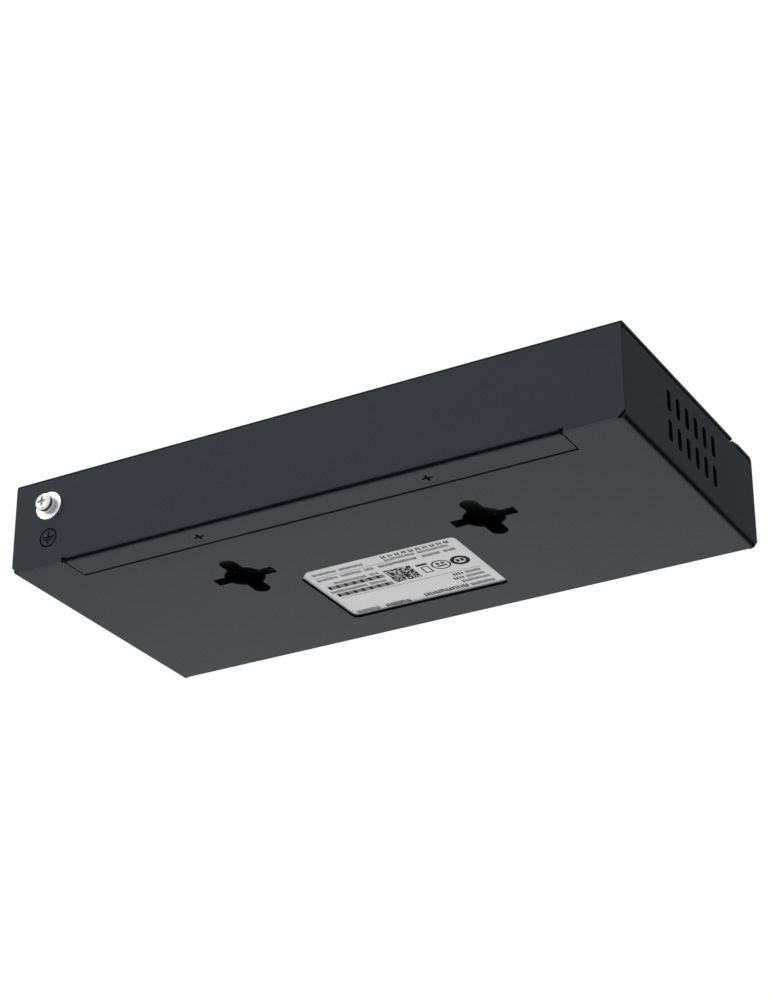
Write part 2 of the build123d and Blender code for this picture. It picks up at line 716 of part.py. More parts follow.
def make_shield(xs, centre, width):
    """Metal shell over the housing's front, top, sides and back."""
    half = width / 2
    inner = half - SHIELD
    room = (block_front + SHIELD, block_rear - SHIELD)
    shell = span((centre - half, centre + half), (block_front, block_rear), (0, BLOCK_HEIGHT))
    shell -= span((centre - inner, centre + inner), room, (-OVERCUT, BLOCK_HEIGHT - SHIELD))
    mouth = Pos(0, block_front + SHIELD / 2) * Rot(90, 0, 0) * extrude(
        socket_outline(SHIELD_LIP), amount=SHIELD, both=True
    )
    for x in xs:
        shell -= Pos(x, 0, 0) * mouth
    return Pos(0, 0, board_top) * shell


def make_wires(xs):
    """Spring wires: up behind each socket, over it and back down inside the mouth."""
    back = wire_back()
    high = wire_top()
    bend = block_front + WIRE_FRONT_BEND + WIRE / 2
    line = FilletPolyline(
        (back, -WIRE_TAIL),
        (back, high),
        (bend, high),
        (block_front + WIRE_TIP_DEPTH, high - WIRE_TIP_DROP),
        radius=WIRE,
    )
    wire = extrude(Plane.YZ.offset(-WIRE / 2) * trace(line, line_width=WIRE), amount=WIRE)
    offsets = [(i - (WIRE_COUNT - 1) / 2) * WIRE_PITCH for i in range(WIRE_COUNT)]
    return group(Pos(x + offset, 0, board_top) * wire for x in xs for offset in offsets)


# Power inlet: body, centre pin and side spring
def make_inlet_body():
    """Moulded barrel inlet, open to the front."""
    half = INLET_WIDTH / 2
    body = span((-half, half), (0, INLET_DEPTH), (0, INLET_HEIGHT))
    body = fillet(body.edges().filter_by(Axis.Y).group_by(Axis.Z)[-1], SHEET)
    bore = Pos(0, INLET_BORE_DEPTH / 2, INLET_BORE_HEIGHT) * Rot(90, 0, 0)
    body -= bore * Cylinder(INLET_BORE / 2, INLET_BORE_DEPTH)
    root = Pos(0, INLET_BORE_DEPTH + INLET_PIN_ROOT / 2, INLET_BORE_HEIGHT) * Rot(90, 0, 0)
    body -= root * Cylinder(INLET_PIN / 2 + SCREW_CLEARANCE, INLET_PIN_ROOT)
    body -= inlet_slot()
    return Pos(inlet_x, block_front, board_top) * body


def inlet_slot():
    """Slot above the bore that holds the side spring."""
    half = INLET_SPRING_WIDTH / 2 + WIRE_CLEARANCE
    low = INLET_BORE_HEIGHT + INLET_BORE / 2 - INLET_SPRING_SLOT
    high = low + 2 * INLET_SPRING_SLOT
    return span((-half, half), (INLET_SPRING_FROM_FRONT, INLET_BORE_DEPTH), (low, high))


def make_inlet_pin():
    """Centre pin, held in the back of the inlet's body."""
    length = INLET_BORE_DEPTH + INLET_PIN_ROOT - INLET_PIN_SETBACK
    pin = standing(0, 0, 0, INLET_PIN, length)
    pin = fillet(pin.edges().group_by(Axis.Z)[-1], INLET_PIN_TIP_ROUND)
    place = Plane(
        origin=(inlet_x, block_front + INLET_BORE_DEPTH + INLET_PIN_ROOT, board_top + INLET_BORE_HEIGHT),
        z_dir=(0, -1, 0),
    )
    return place * pin


def make_inlet_spring():
    """Leaf that presses on a plug's sleeve from above the bore."""
    high = INLET_BORE_HEIGHT + INLET_BORE / 2 + INLET_SPRING_SLOT - INLET_SPRING_THICKNESS
    low = INLET_BORE_HEIGHT + INLET_BORE / 2 - INLET_SPRING_THICKNESS
    start = INLET_SPRING_FROM_FRONT + WIRE_CLEARANCE
    stop = INLET_BORE_DEPTH - WIRE_CLEARANCE
    line = FilletPolyline(
        (start, high), ((start + stop) / 2, low), (stop - PIPE_PEG, high), (stop, high), radius=WIRE
    )
    leaf = trace(line, line_width=INLET_SPRING_THICKNESS)
    half = INLET_SPRING_WIDTH / 2
    return Pos(inlet_x, block_front, board_top) * extrude(Plane.YZ.offset(-half) * leaf, amount=2 * half)


# Light pipes
def make_pipe(xs):
    """Clear moulding: a rod to the front and a leg to the lamp for each port, joined by a bar."""
    radius = PIPE_DIAMETER / 2
    back = leg_y + radius
    reach_z = (pipe_z - radius, pipe_z + radius)
    pipe = span((xs[0] - radius, xs[-1] + radius), (leg_y - radius, back), reach_z)
    low = board_top + LAMP_HEIGHT + LAMP_GAP
    rod_length = leg_y - block_front
    for x in xs:
        rod = Rot(90, 0, 0) * Cylinder(radius, rod_length)
        rod = Pos(x, block_front + rod_length / 2, pipe_z) * rod
        leg = span((x - radius, x + radius), (leg_y - radius, back), (low, pipe_z))
        pipe += rod + leg
    half = PIPE_PEG / 2
    reach = radius + PIPE_PEG_GAP + half
    for end, x in ((xs[0], xs[0] - reach), (xs[-1], xs[-1] + reach)):
        pipe += span((x - half, x + half), (leg_y - half, leg_y + half), (board_top, pipe_z))
        pipe += span(sorted((x, end)), (leg_y - radius, back), (pipe_z - radius, pipe_z))
    return pipe


def make_lamps():
    """Surface-mounted lamps under the light pipes' legs."""
    lamp = Pos(0, 0, LAMP_HEIGHT / 2) * Box(LAMP_LENGTH, LAMP_WIDTH, LAMP_HEIGHT)
    return group(Pos(x, leg_y, board_top) * lamp for x in port_xs + uplink_xs + [inlet_x])


# Parts on the board
def make_chip():
    """The switching chip, with leads on four sides."""
    chip = leaded_chip(CHIP_SIZE, CHIP_SIZE, CHIP_HEIGHT, CHIP_PIN_COUNT, CHIP_PIN_PITCH, four_sided=True)
    return Pos(chip_x, chip_y, board_top) * chip


def make_pad():
    """Heat-transfer pad between the chip and its heat sink."""
    pad = Box(PAD_SIZE, PAD_SIZE, PAD_HEIGHT)
    return Pos(chip_x, chip_y, board_top + CHIP_HEIGHT + PAD_HEIGHT / 2) * pad


def make_sink():
    """Extruded heat sink."""
    half = SINK_SIZE / 2
    sink = span((-half, half), (-half, half), (0, SINK_BASE))
    step = (SINK_SIZE - SINK_FIN_THICKNESS) / (SINK_FIN_COUNT - 1)
    for i in range(SINK_FIN_COUNT):
        x = -half + i * step
        sink += span((x, x + SINK_FIN_THICKNESS), (-half, half), (0, SINK_BASE + SINK_FIN_HEIGHT))
    return Pos(chip_x, chip_y, board_top + CHIP_HEIGHT + PAD_HEIGHT) * sink


def make_magnetics():
    """Line transformers, one module behind each pair of sockets."""
    module = leaded_chip(
        MAGNETICS_LENGTH, MAGNETICS_WIDTH, MAGNETICS_HEIGHT, MAGNETICS_PIN_COUNT, MAGNETICS_PIN_PITCH
    )
    return group(Pos(x, magnetics_y, board_top) * module for x in pair_xs)


def make_surge_chips():
    """Surge arrestors between the light pipes and the transformers."""
    chip = leaded_chip(
        SURGE_CHIP_LENGTH, SURGE_CHIP_WIDTH, SURGE_CHIP_HEIGHT, SURGE_CHIP_PIN_COUNT, SURGE_CHIP_PIN_PITCH
    )
    y = leg_y + PIPE_DIAMETER / 2 + SURGE_GAP / 2
    shift = MAGNETICS_LENGTH / 4
    return group(Pos(x + side * shift, y, board_top) * chip for x in pair_xs for side in (-1, 1))


def make_resistors():
    """Rows of chip resistors beside the transformers, one row for each pair of sockets."""
    chip = Pos(0, 0, RESISTOR_HEIGHT / 2) * Box(RESISTOR_WIDTH, RESISTOR_LENGTH, RESISTOR_HEIGHT)
    y = magnetics_y + MAGNETICS_WIDTH / 2 + PART_GAP + RESISTOR_LENGTH / 2
    offsets = [(i - (RESISTORS_PER_PAIR - 1) / 2) * RESISTOR_PITCH for i in range(RESISTORS_PER_PAIR)]
    return group(Pos(x + offset, y, board_top) * chip for x in pair_xs for offset in offsets)


def make_cans():
    """Round filter capacitors of the power input."""
    can = standing(0, 0, 0, CAN_DIAMETER, CAN_HEIGHT)
    can = fillet(can.edges().group_by(Axis.Z)[-1], 2 * CAN_GROOVE)
    groove_z = CAN_HEIGHT * 0.16
    can -= Pos(0, 0, groove_z) * Torus(CAN_DIAMETER / 2, CAN_GROOVE)
    vent = Box(CAN_DIAMETER * 0.6, CAN_GROOVE, CAN_GROOVE)
    can -= Pos(0, 0, CAN_HEIGHT) * (vent + Rot(0, 0, 90) * vent)
    return group(Pos(power_x - i * CAN_PITCH, power_y, board_top) * can for i in range(CAN_COUNT))


def make_coils():
    """Shielded power chokes."""
    coil = Pos(0, 0, COIL_HEIGHT / 2) * Box(COIL_SIZE, COIL_SIZE, COIL_HEIGHT)
    coil = chamfer(coil.edges().filter_by(Axis.Z), COIL_CORNER)
    coil -= standing(0, 0, COIL_HEIGHT - CAN_GROOVE, COIL_SIZE * 0.72, CAN_GROOVE)
    coil += standing(0, 0, 0, COIL_SIZE * 0.6, COIL_HEIGHT)
    y = power_y - CAN_DIAMETER / 2 - PART_GAP - COIL_SIZE / 2
    return group(Pos(power_x - i * COIL_PITCH, y, board_top) * coil for i in range(COIL_COUNT))


def small_chip():
    """An eight-lead chip."""
    return leaded_chip(
        SMALL_CHIP_LENGTH, SMALL_CHIP_WIDTH, SMALL_CHIP_HEIGHT, SMALL_CHIP_PIN_COUNT, SMALL_CHIP_PIN_PITCH
    )


def make_regulators():
    """Voltage regulators in front of the chokes."""
    y = power_y - CAN_DIAMETER / 2 - 2 * PART_GAP - COIL_SIZE - SMALL_CHIP_WIDTH
    places = [power_x - i * REGULATOR_PITCH for i in range(REGULATOR_COUNT)]
    return group(Pos(x, y, board_top) * small_chip() for x in places)


def make_memory():
    """Memory chip beside the heat sink."""
    x = chip_x - SINK_SIZE / 2 - PART_GAP - SMALL_CHIP_LENGTH
    return Pos(x, chip_y - SMALL_CHIP_WIDTH, board_top) * small_chip()


def make_crystal():
    """Clock crystal beside the heat sink."""
    x = chip_x - SINK_SIZE / 2 - PART_GAP - SMALL_CHIP_LENGTH
    can = Pos(0, 0, CRYSTAL_HEIGHT / 2) * Box(CRYSTAL_LENGTH, CRYSTAL_WIDTH, CRYSTAL_HEIGHT)
    can = fillet(can.edges().group_by(Axis.Z)[-1], CRYSTAL_HEIGHT / 4)
    return Pos(x, chip_y + SMALL_CHIP_WIDTH + PART_GAP, board_top) * can


def make_ceramics():
    """Ceramic capacitors in rows on both sides of the heat sink."""
    chip = Pos(0, 0, CERAMIC_HEIGHT / 2) * Box(CERAMIC_LENGTH, CERAMIC_WIDTH, CERAMIC_HEIGHT)
    ys = [chip_y + (i - (CERAMIC_COUNT - 1) / 2) * CERAMIC_PITCH for i in range(CERAMIC_COUNT)]
    places = []
    for side in (-1, 1):
        x = chip_x + side * (SINK_SIZE / 2 + PART_GAP)
        places += [(x, y) for y in ys]
    return group(Pos(x, y, board_top) * chip for x, y in places)


def make_fuse():
    """Input fuse behind the power inlet."""
    y = magnetics_y
    body = Pos(0, 0, FUSE_HEIGHT / 2) * Box(FUSE_WIDTH, FUSE_LENGTH, FUSE_HEIGHT)
    return Pos(inlet_x, y, board_top) * body


pieces = {
    "base_tray": make_tray(),
    "top_cover": make_lid(),
    "cover_screws": make_lid_screws(),
    "rating_label": make_label(),
    "earth_screw": make_earth_screw(),
    "earth_spring_washer": make_spring_washer(),
    "earth_flat_washer": make_flat_washer(),
    "earth_clinch_nut": make_clinch_nut(),
    "circuit_board": make_board(),
    "board_standoffs": make_standoffs(),
    "board_screws": make_board_screws(),
    "port_housing": make_housing(port_xs, port_x, port_width),
    "port_shield": make_shield(port_xs, port_x, port_width),
    "port_contacts": make_wires(port_xs),
    "uplink_housing": make_housing(uplink_xs, uplink_x, uplink_width),
    "uplink_shield": make_shield(uplink_xs, uplink_x, uplink_width),
    "uplink_contacts": make_wires(uplink_xs),
    "power_inlet_body": make_inlet_body(),
    "power_inlet_pin": make_inlet_pin(),
    "power_inlet_spring": make_inlet_spring(),
    "port_light_pipe": make_pipe(port_xs),
    "uplink_light_pipe": make_pipe(uplink_xs),
    "power_light_pipe": make_pipe([inlet_x]),
    "indicator_lamps": make_lamps(),
    "switch_chip": make_chip(),
    "thermal_pad": make_pad(),
    "heat_sink": make_sink(),
    "line_transformers": make_magnetics(),
    "surge_arrestors": make_surge_chips(),
    "chip_resistors": make_resistors(),
    "filter_capacitors": make_cans(),
    "power_chokes": make_coils(),
    "voltage_regulators": make_regulators(),
    "memory_chip": make_memory(),
    "clock_crystal": make_crystal(),
    "ceramic_capacitors": make_ceramics(),
    "input_fuse": make_fuse(),
}

os.makedirs("parts", exist_ok=True)
for name, shape in pieces.items():
    export_step(shape, f"parts/{name}.step")
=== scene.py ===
"""Looks of a desktop ethernet switch: finishes, printing, small trim, stage, lights and camera."""

import logging
import math
from dataclasses import dataclass, field, replace
from enum import Enum
from typing import Iterable, Mapping, Optional, Sequence, Union

import bmesh
import bpy
from mathutils import Matrix, Vector


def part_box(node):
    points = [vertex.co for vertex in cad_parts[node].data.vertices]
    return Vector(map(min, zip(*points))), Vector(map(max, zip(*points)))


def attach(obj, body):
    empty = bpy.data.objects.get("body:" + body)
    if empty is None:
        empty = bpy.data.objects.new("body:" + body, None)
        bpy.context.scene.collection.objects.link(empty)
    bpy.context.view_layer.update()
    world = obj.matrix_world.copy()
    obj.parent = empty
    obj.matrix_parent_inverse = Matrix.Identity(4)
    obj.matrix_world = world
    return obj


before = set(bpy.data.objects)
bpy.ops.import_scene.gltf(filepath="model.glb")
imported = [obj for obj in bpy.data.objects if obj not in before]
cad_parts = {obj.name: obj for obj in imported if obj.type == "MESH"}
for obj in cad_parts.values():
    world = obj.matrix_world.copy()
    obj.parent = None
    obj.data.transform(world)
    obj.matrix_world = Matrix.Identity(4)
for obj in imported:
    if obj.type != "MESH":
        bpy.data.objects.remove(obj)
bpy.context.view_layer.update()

log = logging.getLogger("switch")
MM = 0.001
BODY = "root"
UNIT_GRID = 0.5  # the size that gives create_grid a side of 1
MIX_FIRST, MIX_SECOND, MIX_RESULT = 6, 7, 2  # a Mix node's sockets for colours
Triple = tuple[float, float, float]
Colour = Triple
Span = tuple[float, float]


class Tone(Enum):
    """How strongly a part of the label is printed."""

    HEAVY = "heavy"
    FINE = "fine"


class Term:
    """A shader socket that takes part in plain arithmetic."""

    def __init__(self, graph: "Graph", socket: bpy.types.NodeSocket) -> None:
        """Wraps an output socket of the graph."""
        self.graph = graph
        self.socket = socket

    def maths(self, operation: str, *others: "Operand") -> "Term":
        """The result of a Math node that has this term first."""
        values = dict(enumerate((self, *others)))
        return self.graph.add("ShaderNodeMath", {"operation": operation}, values)

    def reflected(self, operation: str, other: "Operand") -> "Term":
        """The result of a Math node that has this term second."""
        return self.graph.add("ShaderNodeMath", {"operation": operation}, {0: other, 1: self})

    def __add__(self, other: "Operand") -> "Term":
        """This plus other."""
        return self.maths("ADD", other)

    __radd__ = __add__

    def __sub__(self, other: "Operand") -> "Term":
        """This minus other."""
        return self.maths("SUBTRACT", other)

    def __rsub__(self, other: "Operand") -> "Term":
        """Other minus this."""
        return self.reflected("SUBTRACT", other)

    def __mul__(self, other: "Operand") -> "Term":
        """This times other."""
        return self.maths("MULTIPLY", other)

    __rmul__ = __mul__

    def __pow__(self, other: "Operand") -> "Term":
        """This to the power of other."""
        return self.maths("POWER", other)

    def __rpow__(self, other: "Operand") -> "Term":
        """Other to the power of this."""
        return self.reflected("POWER", other)

    def __abs__(self) -> "Term":
        """This without its sign."""
        return self.maths("ABSOLUTE")

    def most(self, other: "Operand") -> "Term":
        """The larger of the two."""
        return self.maths("MAXIMUM", other)

    def swing(self, amount: float) -> "Term":
        """Noise about 0.5 made to swing about 0, over a range of the amount."""
        return (self - 0.5) * amount

    def ramp(self, low: float, high: float) -> "Term":
        """Eases from 0 at low to 1 at high, whichever of the two is the larger.

        Args:
            low: the value that gives 0.
            high: the value that gives 1.

        Returns:
            The eased share.
        """
        ends = (low, high, 0.0, 1.0) if low < high else (high, low, 1.0, 0.0)
        values = dict(enumerate((self, *ends)))
        return self.graph.add("ShaderNodeMapRange", {"interpolation_type": "SMOOTHSTEP"}, values)


Operand = Union[Term, int, float, Triple]


@dataclass(frozen=True)
class Grain:
    """One layer of noise in a finish.

    Its size, the width of its lumps, is in metres, and detail counts its finer layers. Tone
    and rough are how far it sways the colour's strength and the roughness.
    """

    size: float
    detail: float = 2.0
    tone: float = 0.0
    rough: float = 0.0


class Graph:
    """The node tree of one material or of the world."""

    def __init__(self, owner: Union[bpy.types.Material, bpy.types.World]) -> None:
        """Empties the owner's tree.

        Args:
            owner: the material or the world.
        """
        owner.use_nodes = True
        self.owner = owner
        self.tree = owner.node_tree
        self.tree.nodes.clear()

    @classmethod
    def of_material(cls, name: str) -> "Graph":
        """An empty graph of a new material."""
        return cls(bpy.data.materials.new(name))

    def node(
        self,
        kind: str,
        settings: Optional[Mapping[str, object]] = None,
        values: Optional[Mapping[Union[int, str], Operand]] = None,
    ) -> bpy.types.Node:
        """Adds a node of any kind.

        Args:
            kind: the node's type.
            settings: the node's own properties, which are set first.
            values: what its input sockets hold or are linked to, by place or name.

        Returns:
            The node.
        """
        node = self.tree.nodes.new(kind)
        for key, value in (settings or {}).items():
            setattr(node, key, value)
        for key, value in (values or {}).items():
            socket = node.inputs[key]
            if isinstance(value, Term):
                self.tree.links.new(value.socket, socket)
            elif isinstance(value, (int, float)):
                socket.default_value = value
            else:  # a colour socket also wants an alpha
                alpha = (1.0,) * (len(socket.default_value) - len(value))
                socket.default_value = tuple(value) + alpha
        return node

    def add(
        self,
        kind: str,
        settings: Optional[Mapping[str, object]] = None,
        values: Optional[Mapping[Union[int, str], Operand]] = None,
        output: Union[int, str] = 0,
    ) -> Term:
        """Adds a node, as the method node does, and gives one of its outputs."""
        return Term(self, self.node(kind, settings, values).outputs[output])

    def place(self) -> Term:
        """The point on the object, in metres."""
        return self.add("ShaderNodeTexCoord", output="Object")

    def axes(self, vector: Term) -> tuple[Term, Term, Term]:
        """A vector's X, Y and Z."""
        x, y, z = self.node("ShaderNodeSeparateXYZ", values={0: vector}).outputs
        return Term(self, x), Term(self, y), Term(self, z)

    def noise(self, place: Term, grain: Grain) -> Term:
        """A layer's noise at a place, even about 0.5."""
        values = {"Vector": place, "Scale": 1.0 / grain.size, "Detail": grain.detail}
        return self.add("ShaderNodeTexNoise", values=values, output="Fac")

    def stretched(self, place: Term, scale: Triple) -> Term:
        """A place with its axes scaled, for brushed and drawn surfaces."""
        return self.add("ShaderNodeVectorMath", {"operation": "MULTIPLY"}, {0: place, 1: scale})

    def blend(self, share: Operand, first: Operand, second: Operand) -> Term:
        """Mixes two colours: a share of 0 gives the first, and 1 the second."""
        values = {0: share, MIX_FIRST: first, MIX_SECOND: second}
        return self.add("ShaderNodeMix", {"data_type": "RGBA"}, values, MIX_RESULT)

    def tint(self, colour: Colour, factor: Term) -> Term:
        """A colour made darker or lighter by a factor."""
        values = {0: colour, "Scale": factor}
        return self.add("ShaderNodeVectorMath", {"operation": "SCALE"}, values)

    def bump(self, height: Term, depth: float, strength: float) -> Term:
        """A normal roughened by a height of 0 to 1 that stands for a depth in metres."""
        values = {"Strength": strength, "Distance": depth, "Height": height}
        return self.add("ShaderNodeBump", values=values)

    def surface(self, **values: Operand) -> bpy.types.Material:
        """Ends the graph with a Principled shader.

        Args:
            values: its sockets, with underscores for the spaces in their names.

        Returns:
            The finished material.
        """
        named = {key.replace("_", " "): value for key, value in values.items()}
        shader = self.add("ShaderNodeBsdfPrincipled", values=named)
        return self.output(shader)

    def output(self, shader: Term) -> Union[bpy.types.Material, bpy.types.World]:
        """Ends the graph with a shader.

        Args:
            shader: the shader.

        Returns:
            The finished material or world.
        """
        kind = "World" if isinstance(self.owner, bpy.types.World) else "Material"
        self.node(f"ShaderNodeOutput{kind}", values={"Surface": shader})
        return self.owner


@dataclass(frozen=True)
class ShadedWalls:
    """Painted shade on the cut or pressed walls of an opening in the sheet.

    They are looked for in a box from low to high, in metres, of which the outermost part,
    past the share fade, fades out. A face is a wall where its normal's part along the
    through axis falls over the span wall.
    """

    low: Vector
    high: Vector
    through: int
    wall: Span = (0.97, 0.8)
    fade: float = 0.99

    def mask(self, place: Sequence[Term], normal: Sequence[Term]) -> Term:
        """Finds those walls.

        Args:
            place: the point's three parts.
            normal: the normal's three parts.

        Returns:
            1 on walls that run along the opening's through axis, and 0 elsewhere.
        """
        # painted shade mask: walls along the through axis inside the box
        share = abs(normal[self.through]).ramp(*self.wall)
        for part, low, high in zip(place, self.low, self.high):
            reach = (high - low) / 2
            share = share * abs(part - (high + low) / 2).ramp(reach, reach * self.fade)
        return share


@dataclass(frozen=True)
class PowderCoat:
    """Fine satin powder coat on folded sheet, with painted shade on the bends.

    The coat has a fine grain, a broad orange peel and a faint unevenness. A face counts as bent
    and gets painted shade where the largest part of its normal falls over the span painted_shade,
    and on upper faces, whose normal rises over the span upward, already where it falls over
    upper_bend. Opening walls get the same painted shade.
    """

    colour: Colour = (0.0500, 0.0560, 0.0605)
    # painted shade: the dark colour laid on bends and opening walls, standing in for their shade
    painted_shade_colour: Colour = (0.0025, 0.0030, 0.0035)
    painted_shade: Span = (0.94, 0.84)
    upper_bend: Span = (0.995, 0.97)
    upward: Span = (0.1, 0.25)
    painted_shade_share: float = 0.92
    bend_rough: float = 0.12
    roughness: float = 0.5
    specular: float = 0.01
    tone: float = 0.95
    grain: Grain = Grain(0.35 * MM, 2.0, tone=0.1, rough=0.12)
    peel: Grain = Grain(1.6 * MM, 1.0)
    cloud: Grain = Grain(22 * MM, 3.0, tone=0.09, rough=0.06)
    speck: Grain = Grain(0.21 * MM, 0.0, tone=0.08)
    speck_edge: Span = (0.66, 0.78)
    grain_relief: float = 0.7
    peel_relief: float = 0.3
    depth: float = 0.012 * MM
    strength: float = 0.5
    shaded_openings: tuple[ShadedWalls, ...] = ()

    def material(self, name: str) -> bpy.types.Material:
        """Builds the finish.

        Args:
            name: the material's name.

        Returns:
            The material.
        """
        g = Graph.of_material(name)
        place = g.place()
        normal = g.axes(g.add("ShaderNodeNewGeometry", output="Normal"))
        flat = abs(normal[0]).most(abs(normal[1])).most(abs(normal[2]))
        # painted shade: a mask of the bends, the upper bends and the opening walls
        painted_shade = flat.ramp(*self.painted_shade)
        painted_shade = painted_shade.most(normal[2].ramp(*self.upward) * flat.ramp(*self.upper_bend))
        for opening in self.shaded_openings:
            painted_shade = painted_shade.most(opening.mask(g.axes(place), normal))
        grain = g.noise(place, self.grain)
        peel = g.noise(place, self.peel)
        cloud = g.noise(place, self.cloud)
        speck = g.noise(place, self.speck).ramp(*self.speck_edge)
        tone = self.tone + cloud * self.cloud.tone + grain.swing(self.grain.tone)
        coat = g.tint(self.colour, tone + speck * self.speck.tone)
        rough = self.roughness + grain.swing(self.grain.rough) + cloud.swing(self.cloud.rough)
        relief = grain * self.grain_relief + peel * self.peel_relief
        # the painted shade darkens the base colour on bends and opening walls
        return g.surface(
            Base_Color=g.blend(painted_shade * self.painted_shade_share, coat, self.painted_shade_colour),
            Roughness=rough + painted_shade * self.bend_rough,
            Specular_IOR_Level=self.specular,
            Normal=g.bump(relief, self.depth, self.strength),
        )


@dataclass(frozen=True)
class PlatedMetal:
    """Bright plating with fine turning or rolling marks and a faint haze.

    The marks are rings about a line along Y where centre is given, in metres, and straight
    lines otherwise, drawn out along the axis with the least factor of along.
    """

    colour: Colour = (0.74, 0.73, 0.70)
    roughness: float = 0.2
    haze: float = 0.1
    tone: float = 0.9
    marks: Grain = Grain(0.16 * MM, 1.0, tone=0.1, rough=0.08)
    cloud: Grain = Grain(2.2 * MM, 3.0, tone=0.14)
    depth: float = 0.004 * MM
    strength: float = 0.6
    centre: Optional[Span] = None
    along: Triple = (0.06, 1.0, 1.0)

    def material(self, name: str) -> bpy.types.Material:
        """Builds the finish.

        Args:
            name: the material's name.

        Returns:
            The material.
        """
        g = Graph.of_material(name)
        place = g.place()
        if self.centre:
            x, _, z = g.axes(place)
            dx, dz = x - self.centre[0], z - self.centre[1]
            radius = (dx * dx + dz * dz) ** 0.5
            across = g.add("ShaderNodeCombineXYZ", values={0: radius})
        else:
            across = g.stretched(place, self.along)
        lines = g.noise(across, self.marks)
        cloud = g.noise(place, self.cloud)
        tone = self.tone + cloud * self.cloud.tone + lines.swing(self.marks.tone)
        return g.surface(
            Base_Color=g.tint(self.colour, tone),
            Metallic=1.0,
            Roughness=self.roughness + cloud * self.haze + lines.swing(self.marks.rough),
            Normal=g.bump(lines, self.depth, self.strength),
        )


@dataclass(frozen=True)
class Grained:
    """A body with a fine grain, which gives its relief, and a broad one.

    Either can be drawn out along the axis with the least factor. Ferrite, ceramic, resin
    and the thermal pad have this finish as it is.
    """

    colour: Colour
    roughness: float = 0.5
    metallic: float = 0.0
    specular: float = 0.5
    tone: float = 1.0
    fine: Grain = Grain(0.15 * MM, 2.0, tone=0.25, rough=0.16)
    fine_along: Triple = (1.0, 1.0, 1.0)
    broad: Grain = Grain(3 * MM, 2.0, tone=0.12)
    broad_along: Triple = (1.0, 1.0, 1.0)
    depth: float = 0.006 * MM
    strength: float = 0.7

    def material(self, name: str) -> bpy.types.Material:
        """Builds the finish.

        Args:
            name: the material's name.

        Returns:
            The material.
        """
        g = Graph.of_material(name)
        place = g.place()
        fine = g.noise(g.stretched(place, self.fine_along), self.fine)
        broad = g.noise(g.stretched(place, self.broad_along), self.broad)
        tone = self.tone + fine.swing(self.fine.tone) + broad.swing(self.broad.tone)
        rough = self.roughness + fine.swing(self.fine.rough) + broad.swing(self.broad.rough)
        return g.surface(
            Base_Color=g.tint(self.colour, tone),
            Metallic=self.metallic,
            Roughness=rough,
            Specular_IOR_Level=self.specular,
            Normal=g.bump(fine, self.depth, self.strength),
        )


@dataclass(frozen=True)
class MouldedPlastic(Grained):
    """Injection-moulded plastic with a fine spark-eroded texture and faint flow marks."""

    colour: Colour = (0.012, 0.012, 0.013)
    roughness: float = 0.42
    fine: Grain = Grain(0.18 * MM, 2.0, tone=0.1, rough=0.14)
    broad: Grain = Grain(4 * MM, 2.0, tone=0.2, rough=0.08)
    broad_along: Triple = (1.0, 0.35, 1.0)


@dataclass(frozen=True)
class LabelFilm(Grained):
    """Matt silver-grey film with a fine tooth and faint handling marks."""

    colour: Colour = (0.535, 0.553, 0.57)
    specular: float = 0.15
    tone: float = 0.96
    fine: Grain = Grain(0.12 * MM, 2.0, tone=0.06)
    broad: Grain = Grain(5 * MM, 3.0, tone=0.06, rough=0.16)
    broad_along: Triple = (0.4, 1.0, 1.0)
    depth: float = 0.004 * MM
    strength: float = 0.5


@dataclass(frozen=True)
class BareMetal(Grained):
    """Drawn aluminium and plated cans."""

    metallic: float = 1.0


@dataclass(frozen=True)
class ClearMoulding:
    """Milky clear plastic of the light pipes."""

    colour: Colour = (0.72, 0.76, 0.76)
    roughness: float = 0.16
    clearness: float = 0.35
    ior: float = 1.58
    tone: float = 0.9
    veil: Grain = Grain(1.2 * MM, 2.0, tone=0.16, rough=0.1)
    depth: float = 0.004 * MM
    strength: float = 0.4

    def material(self, name: str) -> bpy.types.Material:
        """Builds the finish.

        Args:
            name: the material's name.

        Returns:
            The material.
        """
        g = Graph.of_material(name)
        veil = g.noise(g.place(), self.veil)
        return g.surface(
            Base_Color=g.tint(self.colour, self.tone + veil * self.veil.tone),
            Roughness=self.roughness + veil * self.veil.rough,
            Transmission_Weight=self.clearness,
            IOR=self.ior,
            Normal=g.bump(veil, self.depth, self.strength),
        )


@dataclass(frozen=True)
class Ink:
    """Flat printing ink, a little broken up at its finest scale, where the paper shows."""

    colour: Colour = (0.003, 0.003, 0.0035)
    paper: Colour = (0.5, 0.52, 0.53)
    wear: float = 0.04
    roughness: float = 0.55
    specular: float = 0.01
    holes: Grain = Grain(0.16 * MM, 3.0, rough=0.1)
    hole_edge: Span = (0.6, 0.75)
    depth: float = 0.002 * MM
    strength: float = 0.4

    def material(self, name: str) -> bpy.types.Material:
        """Builds the finish.

        Args:
            name: the material's name.

        Returns:
            The material.
        """
        g = Graph.of_material(name)
        holes = g.noise(g.place(), self.holes).ramp(*self.hole_edge)
        return g.surface(
            Base_Color=g.blend(holes * self.wear, self.colour, self.paper),
            Roughness=self.roughness + holes.swing(self.holes.rough),
            Specular_IOR_Level=self.specular,
            Normal=g.bump(holes, self.depth, self.strength),
        )


